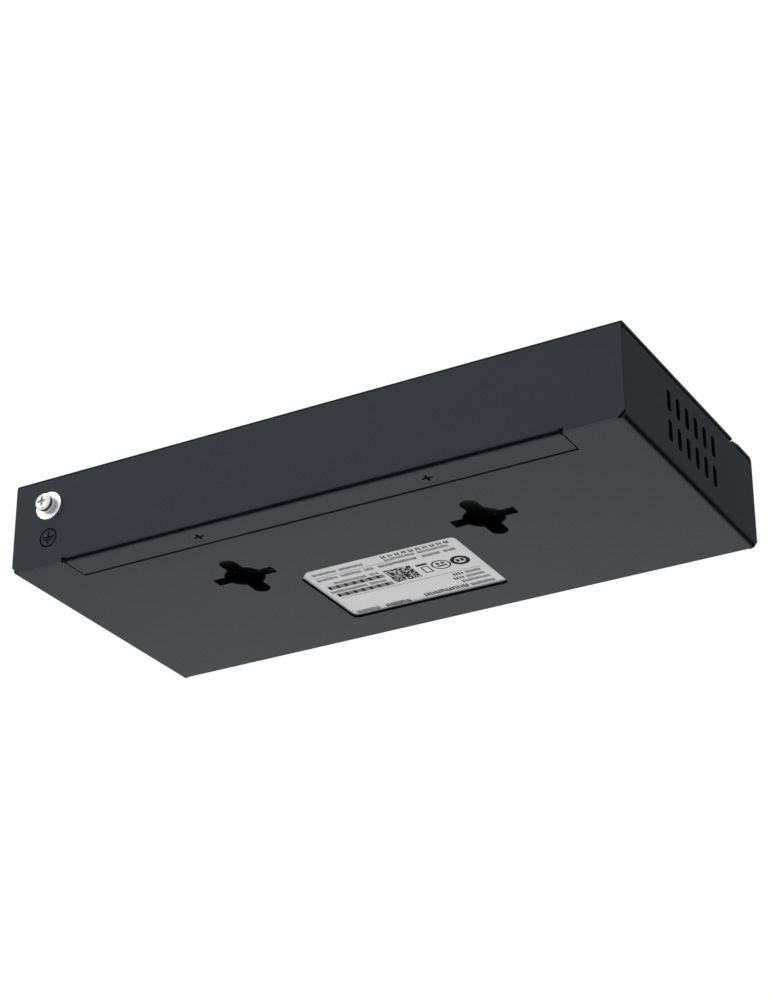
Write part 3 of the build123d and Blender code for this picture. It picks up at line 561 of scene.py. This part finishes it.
@dataclass(frozen=True)
class SolderMask:
    """Black circuit board: tracks show faintly under the mask, between tinned pads.

    The tracks run round scattered cells, and the pads lie at scattered points. Track_edge is
    in shares of the tracks' spacing, and pad_edge of the pads' pitch.
    """

    mask: Colour = (0.006, 0.0065, 0.0065)
    track: Colour = (0.011, 0.012, 0.0115)
    pad: Colour = (0.52, 0.5, 0.46)
    cell_pitch: float = 3.2 * MM
    tracks_per_cell: float = 9.0
    track_edge: Span = (0.35, 0.5)
    track_rough: float = 0.05
    pad_pitch: float = 5.5 * MM
    pad_edge: Span = (0.085, 0.07)
    pad_gloss: float = 0.08
    roughness: float = 0.34
    depth: float = 0.02 * MM
    strength: float = 0.5

    def scattered(self, g: Graph, pitch: float, distance: str) -> Term:
        """How far a point is from the nearest of many that are scattered over the board.

        Args:
            g: the finish's graph.
            pitch: how far apart they are on the whole, in metres.
            distance: how that is measured, as the Voronoi node calls it.

        Returns:
            The distance, in shares of the pitch.
        """
        settings = {"voronoi_dimensions": "2D", "feature": "F1", "distance": distance}
        values = {"Vector": g.place(), "Scale": 1 / pitch}
        return g.add("ShaderNodeTexVoronoi", settings, values, "Distance")

    def material(self, name: str) -> bpy.types.Material:
        """Builds the finish.

        Args:
            name: the material's name.

        Returns:
            The material.
        """
        g = Graph.of_material(name)
        cells = self.scattered(g, self.cell_pitch, "CHEBYCHEV") * self.tracks_per_cell
        tracks = cells.maths("FRACT").ramp(*self.track_edge)
        pads = self.scattered(g, self.pad_pitch, "EUCLIDEAN").ramp(*self.pad_edge)
        board = g.blend(tracks, self.mask, self.track)
        return g.surface(
            Base_Color=g.blend(pads, board, self.pad),
            Metallic=pads,
            Roughness=self.roughness - pads * self.pad_gloss + tracks * self.track_rough,
            Normal=g.bump(tracks + pads, self.depth, self.strength),
        )


@dataclass(frozen=True)
class LeadedPackage:
    """A moulded chip with tinned leads: what lies low over the board is metal.

    The metal ends lead_top above board_top, in metres, and is full at lead_full of that.
    """

    board_top: float
    colour: Colour = (0.014, 0.014, 0.015)
    lead: Colour = (0.62, 0.61, 0.58)
    lead_top: float = 0.2 * MM
    lead_full: float = 0.8
    lead_gloss: float = 0.2
    roughness: float = 0.5
    tone: float = 0.85
    grain: Grain = Grain(0.12 * MM, 2.0, tone=0.3, rough=0.12)
    depth: float = 0.006 * MM
    strength: float = 0.6

    def material(self, name: str) -> bpy.types.Material:
        """Builds the finish.

        Args:
            name: the material's name.

        Returns:
            The material.
        """
        g = Graph.of_material(name)
        place = g.place()
        _, _, z = g.axes(place)
        full = self.board_top + self.lead_top * self.lead_full
        metal = z.ramp(self.board_top + self.lead_top, full)
        grain = g.noise(place, self.grain)
        body = g.tint(self.colour, self.tone + grain * self.grain.tone)
        return g.surface(
            Base_Color=g.blend(metal, body, self.lead),
            Metallic=metal,
            Roughness=self.roughness - metal * self.lead_gloss + grain.swing(self.grain.rough),
            Normal=g.bump(grain, self.depth, self.strength),
        )


def box_of(node: str) -> tuple[Vector, Vector]:
    """Lowest and highest corner of a node of the frame, in metres."""
    low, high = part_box(node)
    return Vector(low), Vector(high)


def add_object(name: str, data: bpy.types.ID) -> bpy.types.Object:
    """Puts an object in the scene.

    Args:
        name: its name.
        data: its mesh, light or camera.

    Returns:
        The object.
    """
    made = bpy.data.objects.new(name, data)
    bpy.context.scene.collection.objects.link(made)
    return made


def mesh_of(name: str, shape: bmesh.types.BMesh, material: bpy.types.Material) -> bpy.types.Mesh:
    """Turns a shape into a mesh, and frees the shape.

    Args:
        name: the mesh's name.
        shape: the shape, in place, in metres.
        material: its finish.

    Returns:
        The mesh.
    """
    mesh = bpy.data.meshes.new(name)
    shape.to_mesh(mesh)
    shape.free()
    mesh.materials.append(material)
    return mesh


def dress(nodes: Iterable[str], material: bpy.types.Material) -> None:
    """Gives nodes of the frame one material.

    Args:
        nodes: their names.
        material: what they get.
    """
    for node in nodes:
        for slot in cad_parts[node].material_slots:
            slot.material = material
        log.info("dressed %s with %s", node, material.name)


def finish_piece(
    name: str,
    shape: bmesh.types.BMesh,
    material: bpy.types.Material,
    smooth: bool = False,
) -> None:
    """Turns a shape into a piece of the switch.

    Args:
        name: the piece's name.
        shape: its mesh, in place, in metres.
        material: its finish.
        smooth: whether its faces are shaded smooth.
    """
    for face in shape.faces:
        face.smooth = smooth
    mesh = mesh_of(name, shape, material)
    piece = add_object(name, mesh)
    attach(piece, BODY)
    log.info("made %s, %d faces", name, len(mesh.polygons))


@dataclass
class PrintBed:
    """A flat place that ink is laid on, with its own right and up directions.

    The bed's origin and the ink's thickness are in metres, and all that is printed is in
    millimetres.
    """

    origin: Vector
    right: Vector
    up: Vector
    thickness: float = 0.012 * MM
    ring_sides: int = 48
    shape: bmesh.types.BMesh = field(default_factory=bmesh.new)

    def matrix(self) -> Matrix:
        """The bed's place: X to the right, Y up and Z out of the surface."""
        out = self.right.cross(self.up)
        turn = Matrix((self.right, self.up, out)).transposed().to_4x4()
        return Matrix.Translation(self.origin) @ turn

    def raise_faces(self, faces: Sequence[bmesh.types.BMFace]) -> None:
        """Gives flat faces the ink's thickness.

        Args:
            faces: faces that lie on the bed.
        """
        out = self.right.cross(self.up)
        result = bmesh.ops.extrude_face_region(self.shape, geom=list(faces))
        verts = [v for v in result["geom"] if isinstance(v, bmesh.types.BMVert)]
        bmesh.ops.translate(self.shape, vec=out * self.thickness, verts=verts)

    def bar(self, x: float, y: float, width: float, height: float) -> None:
        """Prints a plain bar.

        Args:
            x: its left end.
            y: its lower edge.
            width: its length.
            height: its height.
        """
        place = (
            self.matrix()
            @ Matrix.Translation(Vector((x + width / 2, y + height / 2, 0)) * MM)
            @ Matrix.Diagonal((width * MM, height * MM, 1.0, 1.0))
        )
        made = bmesh.ops.create_grid(
            self.shape, x_segments=1, y_segments=1, size=UNIT_GRID, matrix=place
        )
        faces = {face for vert in made["verts"] for face in vert.link_faces}
        self.raise_faces(list(faces))

    def ring(self, x: float, y: float, outer: float, line: float) -> None:
        """Prints a circle's line.

        Args:
            x: its centre, to the right.
            y: its centre, upwards.
            outer: its outer diameter.
            line: the line's width.
        """
        place = self.matrix() @ Matrix.Translation(Vector((x, y, 0)) * MM)
        made = bmesh.ops.create_circle(
            self.shape,
            cap_ends=True,
            segments=self.ring_sides,
            radius=outer / 2 * MM,
            matrix=place,
        )
        faces = list({face for vert in made["verts"] for face in vert.link_faces})
        inner = bmesh.ops.inset_region(
            self.shape, faces=faces, thickness=line * MM, use_even_offset=True, use_boundary=True
        )
        bmesh.ops.delete(self.shape, geom=faces, context="FACES_ONLY")
        self.raise_faces(inner["faces"])

    def done(self, name: str, material: bpy.types.Material, slot: str) -> None:
        """Makes one piece of all that was printed, in the ink given."""
        bmesh.ops.recalc_face_normals(self.shape, faces=self.shape.faces)
        finish_piece(name, self.shape, material)


@dataclass
class Case:
    """The folded steel case and the painted screws in its underside.

    The sizes say where shade is painted on walls: at the vents, at the hanging holes, in a rim
    round the label and inside the cover. They are in metres, and the rim in millimetres.
    """

    vents_rear: float = 16.2 * MM
    vents_front: float = -17.0 * MM
    vents_low: float = 5.9 * MM
    vents_high: float = 22.4 * MM
    vents_through: float = 1.6 * MM
    holes_apart: float = 76.2 * MM
    hole_reach: float = 12.0 * MM
    hole_y: float = 10.7 * MM
    hole_z: float = 0.5 * MM
    holes_through: float = 1.5 * MM
    label_rim: Triple = (1.6, 1.6, 1.0)
    sheet: float = 0.8 * MM
    edge: float = 0.1 * MM
    rail_depth: float = 9.0 * MM
    screw_paint: PowderCoat = PowderCoat(colour=(0.044, 0.049, 0.053), roughness=0.42)

    def shaded_openings(self) -> tuple[ShadedWalls, ...]:
        """Painted shade on the walls of the label's recess, hanging holes and vents of both sides.
        """
        low, high = box_of("rating_label")
        rim = Vector(self.label_rim) * MM
        found = [ShadedWalls(low - rim, high + rim, 2)]
        reach = Vector((self.hole_reach, self.hole_reach, self.holes_through))
        for side in (-1, 1):
            middle = Vector((side * self.holes_apart / 2, self.hole_y, self.hole_z))
            found.append(ShadedWalls(middle - reach, middle + reach, 2))
        for corner in box_of("base_tray"):
            low = Vector((corner.x - self.vents_through, self.vents_front, self.vents_low))
            high = Vector((corner.x + self.vents_through, self.vents_rear, self.vents_high))
            found.append(ShadedWalls(low, high, 0))
        return tuple(found)

    def shaded_cover_inside(self) -> ShadedWalls:
        """Painted shade on the cover's underside and rails: a dark line shows above the sides."""
        low, high = box_of("top_cover")
        near = Vector((low.x + self.edge, low.y + self.edge, high.z - self.rail_depth))
        far = Vector((high.x - self.edge, high.y - self.sheet, high.z - self.sheet / 2))
        return ShadedWalls(near, far, 1)

    def build(self) -> None:
        """Dresses the tray, the cover and their screws."""
        # the tray's paint gets painted shade on its recess, hole and vent walls
        tray_paint = PowderCoat(shaded_openings=self.shaded_openings())
        dress(("base_tray",), tray_paint.material("tray_powder_coat"))
        # the cover's paint gets painted shade on its underside and rails
        cover_paint = PowderCoat(shaded_openings=(self.shaded_cover_inside(),))
        dress(("top_cover",), cover_paint.material("cover_powder_coat"))
        dress(("cover_screws",), self.screw_paint.material("painted_screw"))


@dataclass
class EarthTerminal:
    """The bright earth screw with its washers, and the earth mark under it.

    The mark's sizes are in millimetres, from the middle of its ring.
    """

    mark_drop: float = 9.8
    mark_size: float = 5.9
    line: float = 0.48
    stem: float = 2.1
    bars: tuple[float, ...] = (3.8, 2.5, 1.1)
    bar_step: float = 0.78
    bar_height: float = -0.1
    ink: Ink = Ink(colour=(0.0015, 0.0015, 0.002), paper=(0.05, 0.056, 0.06), wear=0.02)
    nickel: PlatedMetal = PlatedMetal(colour=(0.70, 0.70, 0.70), roughness=0.17, haze=0.06)
    zinc: PlatedMetal = PlatedMetal(colour=(0.72, 0.72, 0.72), roughness=0.34, depth=0.002 * MM)
    dull: PlatedMetal = PlatedMetal(colour=(0.40, 0.40, 0.41), roughness=0.34)
    nut: PlatedMetal = PlatedMetal(roughness=0.3)

    def build(self) -> None:
        """Dresses the metal and prints the mark."""
        low, high = box_of("earth_flat_washer")
        axis = (low + high) / 2
        turned = (
            ("earth_screw", self.nickel, "nickel_plate"),
            ("earth_flat_washer", self.zinc, "rolled_zinc"),
            ("earth_spring_washer", self.dull, "dull_spring_steel"),
        )
        for node, metal, name in turned:
            dress((node,), replace(metal, centre=(axis.x, axis.z)).material(name))
        dress(("earth_clinch_nut",), self.nut.material("nut_plate"))
        self.print_mark(axis)

    def print_mark(self, axis: Vector) -> None:
        """Prints the ringed earth mark: a post on three shrinking bars.

        Args:
            axis: the middle of the screw.
        """
        rear = box_of("top_cover")[1].y
        centre = Vector((axis.x, rear, axis.z - self.mark_drop * MM))
        bed = PrintBed(centre, Vector((-1, 0, 0)), Vector((0, 0, 1)))
        bed.ring(0, 0, self.mark_size, self.line)
        half = self.line / 2
        bed.bar(-half, self.bar_height, self.line, self.stem)
        for step, width in enumerate(self.bars):
            bed.bar(-width / 2, self.bar_height - step * self.bar_step, width, self.line)
        bed.done("earth_mark", self.ink.material("earth_mark_ink"), "case_paint")


@dataclass(frozen=True)
class TypeRow:
    """A greeked line of type: plain blocks in words, with no letters.

    Sizes are in millimetres from the label's lower left corner, as it is read. A word counts
    its blocks and the space after it.
    """

    left: float
    right: float
    base: float
    height: float
    block: float = 0.7
    gap: float = 0.27
    word: int = 20
    tone: Tone = Tone.HEAVY


@dataclass(frozen=True)
class StripeBands:
    """Bands of plain upright stripes that hold no data, in millimetres.

    A stripe is its place in the repeat and its width.
    """

    left: float = 2.7
    right: float = 20.8
    bases: tuple[float, ...] = (19.0, 13.65)
    height: float = 2.15
    pitch: float = 2.62
    stripes: tuple[Span, ...] = ((0.0, 1.1), (1.25, 0.3), (1.72, 0.38), (2.28, 0.22))


@dataclass
class RatingLabel:
    """The film label in the recess, with generic print: greeked rows, stripes and plain shapes.

    Sizes are in millimetres from the label's lower left corner, as it is read. A rule is its
    left end, length and base, a bar its left end, base, width and height, and a ring its
    centre, outer diameter and line. In a row, stroke is a share of a block's width, rail and
    ends are shares of its height, and kind_step and kind_cycle shuffle the kinds of blocks.
    The block is a square of scattered cells, of which a share is inked.
    """

    film: LabelFilm = LabelFilm()
    inks: tuple[tuple[Tone, Ink], ...] = (
        (Tone.HEAVY, Ink()),
        (Tone.FINE, Ink(colour=(0.012, 0.012, 0.013), wear=0.08)),
    )
    rows: tuple[TypeRow, ...] = (
        TypeRow(3.0, 19.3, 28.95, 1.4, word=9, tone=Tone.FINE),
        TypeRow(25.8, 47.3, 30.05, 1.45, block=1.35, gap=0.87),
        TypeRow(25.8, 47.3, 28.05, 1.35, word=11, tone=Tone.FINE),
        TypeRow(2.4, 21.0, 25.2, 1.45, word=8, tone=Tone.FINE),
        TypeRow(22.4, 35.7, 25.2, 1.45, block=1.2, gap=0.35),
        TypeRow(36.4, 47.2, 25.2, 1.4, word=7),
        TypeRow(6.0, 20.7, 21.75, 1.45, word=12, tone=Tone.FINE),
        TypeRow(1.9, 20.5, 16.5, 1.45, block=0.6, gap=0.2, word=16, tone=Tone.FINE),
        TypeRow(38.3, 41.6, 10.15, 1.55, block=1.35, gap=0.35, word=9),
        TypeRow(42.2, 47.4, 10.15, 1.45, word=12),
        TypeRow(37.2, 40.6, 7.6, 1.55, block=1.35, gap=0.45, word=9),
        TypeRow(41.2, 47.4, 7.6, 1.45, word=12),
        TypeRow(38.5, 47.4, 5.05, 1.5, block=0.75, gap=0.25, word=12),
        TypeRow(24.7, 39.1, 1.9, 2.0, block=1.5, gap=0.3),
        TypeRow(39.8, 47.4, 1.9, 1.7, block=0.75, gap=0.2),
        TypeRow(1.9, 9.8, 1.0, 1.9, block=0.75, gap=0.2),
        TypeRow(11.5, 19.4, 1.0, 2.0, block=0.9, gap=0.12),
    )
    bands: StripeBands = StripeBands()
    rules: tuple[Triple, ...] = ((2.5, 25.0, 27.5), (2.5, 45.5, 12.5))
    rule_width: float = 0.16
    block_corner: Span = (21.9, 14.3)
    block_side: float = 8.4
    block_cells: int = 24
    block_share: float = 0.7
    block_scatter: Triple = (12.9898, 78.233, 43758.5453)
    stroke: float = 0.36
    rail: float = 0.24
    ends: tuple[float, ...] = (1.0, 0.7, 0.85)
    kind_step: int = 5
    kind_cycle: int = 7
    bars: tuple[tuple[float, float, float, float, Tone], ...] = (
        (31.7, 20.55, 3.6, 1.05, Tone.HEAVY),
        (32.3, 15.7, 0.4, 4.0, Tone.FINE),
        (34.4, 15.7, 0.4, 4.0, Tone.FINE),
        (32.3, 19.3, 2.5, 0.4, Tone.FINE),
        (32.1, 15.6, 2.9, 0.4, Tone.FINE),
        (37.2, 18.9, 1.1, 1.1, Tone.HEAVY),
        (38.8, 18.9, 1.1, 1.1, Tone.HEAVY),
        (37.0, 17.5, 3.1, 0.8, Tone.FINE),
        (43.3, 17.8, 1.0, 1.7, Tone.HEAVY),
        (44.7, 17.8, 1.0, 1.7, Tone.HEAVY),
    )
    rings: tuple[tuple[float, float, float, float, Tone], ...] = (
        (38.5, 18.6, 5.8, 0.5, Tone.FINE),
        (44.5, 18.6, 5.75, 1.2, Tone.HEAVY),
    )
    beds: dict[Tone, PrintBed] = field(default_factory=dict, init=False)

    def build(self) -> None:
        """Dresses the film and prints on it."""
        dress(("rating_label",), self.film.material("label_film"))
        low, high = box_of("rating_label")
        corner = Vector((high.x, low.y, low.z))
        right, up = Vector((-1, 0, 0)), Vector((0, 1, 0))
        self.beds = {tone: PrintBed(corner, right, up) for tone, _ in self.inks}
        for row in self.rows:
            self.print_row(row)
        for base in self.bands.bases:
            self.print_stripes(base)
        for left, length, base in self.rules:
            self.beds[Tone.FINE].bar(left, base, length, self.rule_width)
        self.print_block()
        for *sizes, tone in self.bars:
            self.beds[tone].bar(*sizes)
        for *sizes, tone in self.rings:
            self.beds[tone].ring(*sizes)
        for tone, ink in self.inks:
            material = ink.material(f"{tone.value}_ink")
            self.beds[tone].done(f"label_print_{tone.value}", material, "label_film")

    def print_row(self, row: TypeRow) -> None:
        """Prints one greeked row.

        Args:
            row: the row.
        """
        bed = self.beds[row.tone]
        stroke = row.block * self.stroke
        rail = row.height * self.rail
        steps = (0.0, row.height - rail)
        x = row.left
        count = 0
        while x + row.block <= row.right + self.rule_width:
            if (count + 1) % row.word:
                kind = count * self.kind_step % self.kind_cycle % len(self.ends)
                bed.bar(x, row.base, stroke, row.height)
                bed.bar(x + row.block - stroke, row.base, stroke, row.height * self.ends[kind])
                if kind < len(steps):
                    bed.bar(x, row.base + steps[kind], row.block, rail)
            x += row.block + row.gap
            count += 1

    def print_stripes(self, base: float) -> None:
        """Prints one band of stripes.

        Args:
            base: its lower edge.
        """
        band = self.bands
        x = band.left
        while x < band.right - band.pitch / 2:
            for offset, width in band.stripes:
                self.beds[Tone.HEAVY].bar(x + offset, base, width, band.height)
            x += band.pitch

    def print_block(self) -> None:
        """Prints a square of scattered cells that hold no data."""
        cell = self.block_side / self.block_cells
        left, base = self.block_corner
        by_row, by_column, spread = self.block_scatter
        for row in range(self.block_cells):
            for column in range(self.block_cells):
                chance = math.sin(by_row * row + by_column * column) * spread % 1.0
                if chance < self.block_share:
                    self.beds[Tone.HEAVY].bar(left + column * cell, base + row * cell, cell, cell)


@dataclass
class PortBank:
    """One socket block: black housing, tinned shell, gilt wires, and the shell's side springs.

    Sizes are in metres. A spring is a leaf in steps that rises from the mouth's side wall.
    """

    prefix: str
    ports: int
    mouth_width: float = 11.9 * MM
    mouth_low: float = 4.6 * MM
    pitch: float = 13.97 * MM
    spring_height: float = 2.4 * MM
    spring_rise: float = 0.45 * MM
    spring_length: float = 6.2 * MM
    spring_inset: float = 0.1 * MM
    spring_steps: int = 6
    clearance: float = 0.02 * MM
    sheet: float = 0.15 * MM
    housing: MouldedPlastic = MouldedPlastic()
    shell: PlatedMetal = PlatedMetal(colour=(0.40, 0.40, 0.395), roughness=0.27, haze=0.2)
    gilding: PlatedMetal = PlatedMetal(
        colour=(0.83, 0.56, 0.20), roughness=0.16, along=(1.0, 0.08, 0.08)
    )

    def build(self) -> None:
        """Dresses the block and adds the springs."""
        dress((f"{self.prefix}_housing",), self.housing.material(f"{self.prefix}_black_moulding"))
        tin = self.shell.material(f"{self.prefix}_tinplate")
        dress((f"{self.prefix}_shield",), tin)
        dress((f"{self.prefix}_contacts",), self.gilding.material(f"{self.prefix}_gilt_wire"))
        low, high = box_of(f"{self.prefix}_shield")
        middle = (low.x + high.x) / 2
        shape = bmesh.new()
        for port in range(self.ports):
            x = middle + (port - (self.ports - 1) / 2) * self.pitch
            for side in (-1, 1):
                self.add_spring(shape, x, side, low.y, high.z)
        bmesh.ops.solidify(shape, geom=list(shape.faces), thickness=self.sheet)
        bmesh.ops.recalc_face_normals(shape, faces=shape.faces)
        finish_piece(f"{self.prefix}_shield_springs", shape, tin, smooth=True)

    def add_spring(
        self, shape: bmesh.types.BMesh, x: float, side: int, front: float, top: float
    ) -> None:
        """Adds the leaf that presses on a plug's shell, folded in from the mouth's edge.

        Args:
            shape: the mesh that it joins.
            x: the socket's middle.
            side: -1 or 1 for the mouth's side.
            front: the shell's front face.
            top: the shell's upper face.
        """
        wall = self.mouth_width / 2 - self.clearance
        low = top - self.mouth_low - self.spring_height / 2
        chain = []
        for step in range(self.spring_steps + 1):
            share = step / self.spring_steps
            bulge = math.sin(math.pi * share) * self.spring_rise
            reach = front + self.spring_inset + share * self.spring_length
            chain.append(shape.verts.new((x + side * (wall - bulge), reach, low)))
        edges = [shape.edges.new(pair) for pair in zip(chain, chain[1:])]
        raised = bmesh.ops.extrude_edge_only(shape, edges=edges)
        moved = [v for v in raised["geom"] if isinstance(v, bmesh.types.BMVert)]
        bmesh.ops.translate(shape, vec=(0, 0, self.spring_height), verts=moved)


@dataclass
class PowerInlet:
    """The barrel inlet: black body, nickel pin and its side spring."""

    body: MouldedPlastic = MouldedPlastic(colour=(0.010, 0.010, 0.011), roughness=0.36)
    metal: PlatedMetal = PlatedMetal(roughness=0.16)

    def build(self) -> None:
        """Dresses the inlet."""
        dress(("power_inlet_body",), self.body.material("inlet_black_moulding"))
        dress(("power_inlet_pin", "power_inlet_spring"), self.metal.material("inlet_nickel"))


@dataclass
class LampRow:
    """The light pipes over the sockets and the lamps under their legs."""

    pipe: ClearMoulding = ClearMoulding()
    resin: Grained = Grained((0.62, 0.60, 0.48), 0.4, fine=Grain(0.15 * MM, 2.0, 0.15, 0.16))

    def build(self) -> None:
        """Dresses pipes and lamps."""
        pipes = ("port_light_pipe", "uplink_light_pipe", "power_light_pipe")
        dress(pipes, self.pipe.material("clear_light_pipe"))
        dress(("indicator_lamps",), self.resin.material("lamp_resin"))


@dataclass
class Electronics:
    """The circuit board with all that stands on it and holds it."""

    mask: SolderMask = SolderMask()
    brass: PlatedMetal = PlatedMetal(colour=(0.70, 0.62, 0.42), roughness=0.22)
    zinc: PlatedMetal = PlatedMetal(colour=(0.60, 0.60, 0.60))
    coil_colour: Colour = (0.010, 0.010, 0.011)
    coil_lead_top: float = 0.3 * MM
    bodies: tuple[tuple[str, Grained], ...] = (
        ("thermal_pad", Grained((0.28, 0.33, 0.42), 0.8, fine=Grain(0.3 * MM, 2.0, 0.25, 0.16))),
        ("heat_sink", BareMetal((0.66, 0.67, 0.68), 0.34, fine_along=(1.0, 0.05, 0.3))),
        ("surge_arrestors", Grained((0.55, 0.52, 0.46), 0.45)),
        ("chip_resistors", Grained((0.03, 0.03, 0.032), 0.4)),
        ("filter_capacitors", BareMetal((0.72, 0.72, 0.73), 0.26, fine_along=(1.0, 1.0, 0.05))),
        (
            "power_chokes",
            Grained((0.045, 0.046, 0.05), 0.66, fine=Grain(0.1 * MM, 2.0, 0.25, 0.16)),
        ),
        ("clock_crystal", BareMetal((0.62, 0.61, 0.58), 0.24)),
        ("ceramic_capacitors", Grained((0.40, 0.26, 0.15), 0.42)),
        ("input_fuse", Grained((0.70, 0.70, 0.66), 0.4)),
    )

    def build(self) -> None:
        """Dresses the board and its parts."""
        dress(("circuit_board",), self.mask.material("black_solder_mask"))
        top = box_of("circuit_board")[1].z
        chips = ("switch_chip", "memory_chip", "voltage_regulators")
        dress(chips, LeadedPackage(top).material("chip_moulding"))
        coils = LeadedPackage(top, colour=self.coil_colour, lead_top=self.coil_lead_top)
        dress(("line_transformers",), coils.material("transformer_moulding"))
        dress(("board_standoffs",), self.brass.material("plated_brass"))
        dress(("board_screws",), self.zinc.material("zinc_plate"))
        for node, finish in self.bodies:
            dress((node,), finish.material(f"{node}_finish"))


def facing(place: Triple) -> Matrix:
    """A place, in metres, with its Z axis turned away from the switch."""
    away = Vector(place).normalized()
    return Matrix.Translation(place) @ away.to_track_quat("Z", "Y").to_matrix().to_4x4()


def stage_sheet(name: str, matrix: Matrix, material: bpy.types.Material) -> bpy.types.Object:
    """Makes a flat sheet for the stage.

    Args:
        name: its name.
        matrix: its place, turn and sides, in metres.
        material: its finish.

    Returns:
        The sheet.
    """
    shape = bmesh.new()
    bmesh.ops.create_grid(shape, x_segments=1, y_segments=1, size=UNIT_GRID, matrix=matrix)
    return add_object(name, mesh_of(name, shape, material))


@dataclass(frozen=True)
class SoftLamp:
    """A square lamp that points at the switch, in metres and watts."""

    name: str
    place: Triple
    side: float
    power: float
    tint: Colour = (1.0, 1.0, 1.0)

    def build(self) -> None:
        """Hangs the lamp."""
        light = bpy.data.lights.new(self.name, "AREA")
        light.color = self.tint
        light.size = self.side
        light.energy = self.power
        lamp = add_object(self.name, light)
        lamp.matrix_world = facing(self.place)
        lamp.visible_camera = False


@dataclass(frozen=True)
class PaleFloor:
    """A large pale floor just under the switch, in metres.

    It shows from above only, fades out away from the switch and stops no light, because the
    photograph is taken from below. The span fade is in metres from the middle.
    """

    side: float = 6.0
    drop: float = 0.4 * MM
    fade: Span = (0.75, 0.3)
    colour: Colour = (0.34, 0.34, 0.34)
    roughness: float = 0.9
    tone: float = 0.98
    fibre: Grain = Grain(4 * MM, 3.0, tone=0.04)
    glow_colour: Colour = (1.0, 1.0, 1.0)
    glow: float = 0.54

    def build(self) -> None:
        """Lays the floor."""
        g = Graph.of_material("pale_floor")
        path = g.add("ShaderNodeLightPath", output="Is Camera Ray")
        under = g.add("ShaderNodeNewGeometry", output="Backfacing")
        x, y, _ = g.axes(g.place())
        seen = path * (1 - under) * ((x * x + y * y) ** 0.5).ramp(*self.fade)
        fibre = g.noise(g.place(), self.fibre)
        values = {
            "Base Color": g.tint(self.colour, self.tone + fibre * self.fibre.tone),
            "Roughness": self.roughness,
            "Emission Color": self.glow_colour,
            "Emission Strength": self.glow,
        }
        paint = g.add("ShaderNodeBsdfPrincipled", values=values)
        clear = g.add("ShaderNodeBsdfTransparent")
        cover = g.add("ShaderNodeMixShader", values={0: seen, 1: clear, 2: paint})
        size = Matrix.Diagonal((self.side, self.side, 1.0, 1.0))
        matrix = Matrix.Translation((0, 0, -self.drop)) @ size
        floor = stage_sheet("floor", matrix, g.output(cover))


@dataclass(frozen=True)
class GreyCard:
    """A dark card beside the camera that shows in bright metal alone and shades nothing."""

    place: Triple = (0.46, 0.72, -0.74)
    width: float = 0.16
    height: float = 0.6
    colour: Colour = (0.03, 0.03, 0.03)
    roughness: float = 0.8
    tone: float = 0.8
    fibre: Grain = Grain(5 * MM, 2.0, tone=0.4)

    def build(self) -> None:
        """Stands the card up, facing the switch."""
        g = Graph.of_material("grey_card")
        fibre = g.noise(g.place(), self.fibre)
        dark = g.tint(self.colour, self.tone + fibre * self.fibre.tone)
        material = g.surface(Base_Color=dark, Roughness=self.roughness)
        matrix = facing(self.place) @ Matrix.Diagonal((self.width, self.height, 1.0, 1.0))
        card = stage_sheet("grey_card", matrix, material)
        card.visible_camera = False
        card.visible_diffuse = False
        card.visible_shadow = False


@dataclass
class Studio:
    """White room, pale floor, soft lamps and the camera at the photograph's viewing angle.

    The camera stands at eye, in metres, and looks against back. Its lens and sensor are in
    millimetres.
    """

    floor: PaleFloor = PaleFloor()
    lamps: tuple[SoftLamp, ...] = (
        SoftLamp("under", (0.36, -0.78, -0.62), 0.7, 10.4, (1.0, 0.945, 0.90)),
        SoftLamp("rear", (0.75, 1.15, 0.15), 0.8, 9.8, (0.95, 0.956, 1.0)),
        SoftLamp("top", (0.25, 0.1, 1.3), 1.0, 16.0),
        SoftLamp("front", (0.75, -1.15, 0.4), 0.8, 11.0),
    )
    card: GreyCard = GreyCard()
    white: Colour = (1.0, 1.0, 1.0)
    sky: Colour = (0.86, 0.93, 1.0)
    ambient: float = 0.30
    lens: float = 91.198
    sensor: float = 36.0
    near: float = 10 * MM
    eye: Triple = (-0.315149, 0.557961, -0.304371)
    right: Triple = (-0.871386, -0.490596, -0.001348)
    up: Triple = (-0.222284, 0.392363, 0.892547)
    back: Triple = (-0.437352, 0.778053, -0.450952)

    def build(self) -> None:
        """Makes the world, the floor, the lamps, the card and the camera."""
        self.make_world()
        for thing in (self.floor, *self.lamps, self.card):
            thing.build()
        self.make_camera()
        bpy.context.scene.view_settings.view_transform = "Standard"

    def make_world(self) -> None:
        """An even pale room that the camera, mirrors and glass see as white."""
        world = bpy.data.worlds.new("white_room")
        bpy.context.scene.world = world
        g = Graph(world)
        kinds = ("Is Camera Ray", "Is Glossy Ray", "Is Transmission Ray")
        camera, glossy, through = (g.add("ShaderNodeLightPath", output=kind) for kind in kinds)
        seen = camera.most(glossy).most(through)
        colour = g.blend(seen, self.sky, self.white)
        strength = self.ambient + seen * (1 - self.ambient)
        g.output(g.add("ShaderNodeBackground", values={"Color": colour, "Strength": strength}))

    def make_camera(self) -> None:
        """The camera, below and behind the switch."""
        data = bpy.data.cameras.new("camera")
        data.sensor_width = self.sensor
        data.lens = self.lens
        data.clip_start = self.near
        camera = add_object("camera", data)
        turn = Matrix((self.right, self.up, self.back)).transposed().to_4x4()
        camera.matrix_world = Matrix.Translation(self.eye) @ turn
        bpy.context.scene.camera = camera


def main() -> None:
    """Builds every sub-assembly's looks, then the studio."""
    logging.basicConfig(level=logging.INFO, format="%(message)s")
    parts = (
        Case(),
        EarthTerminal(),
        RatingLabel(),
        PortBank("port", 8),
        PortBank("uplink", 2),
        PowerInlet(),
        LampRow(),
        Electronics(),
        Studio(),
    )
    for part in parts:
        part.build()
        log.info("%s is ready", type(part).__name__)


if __name__ == "__main__":
    main()
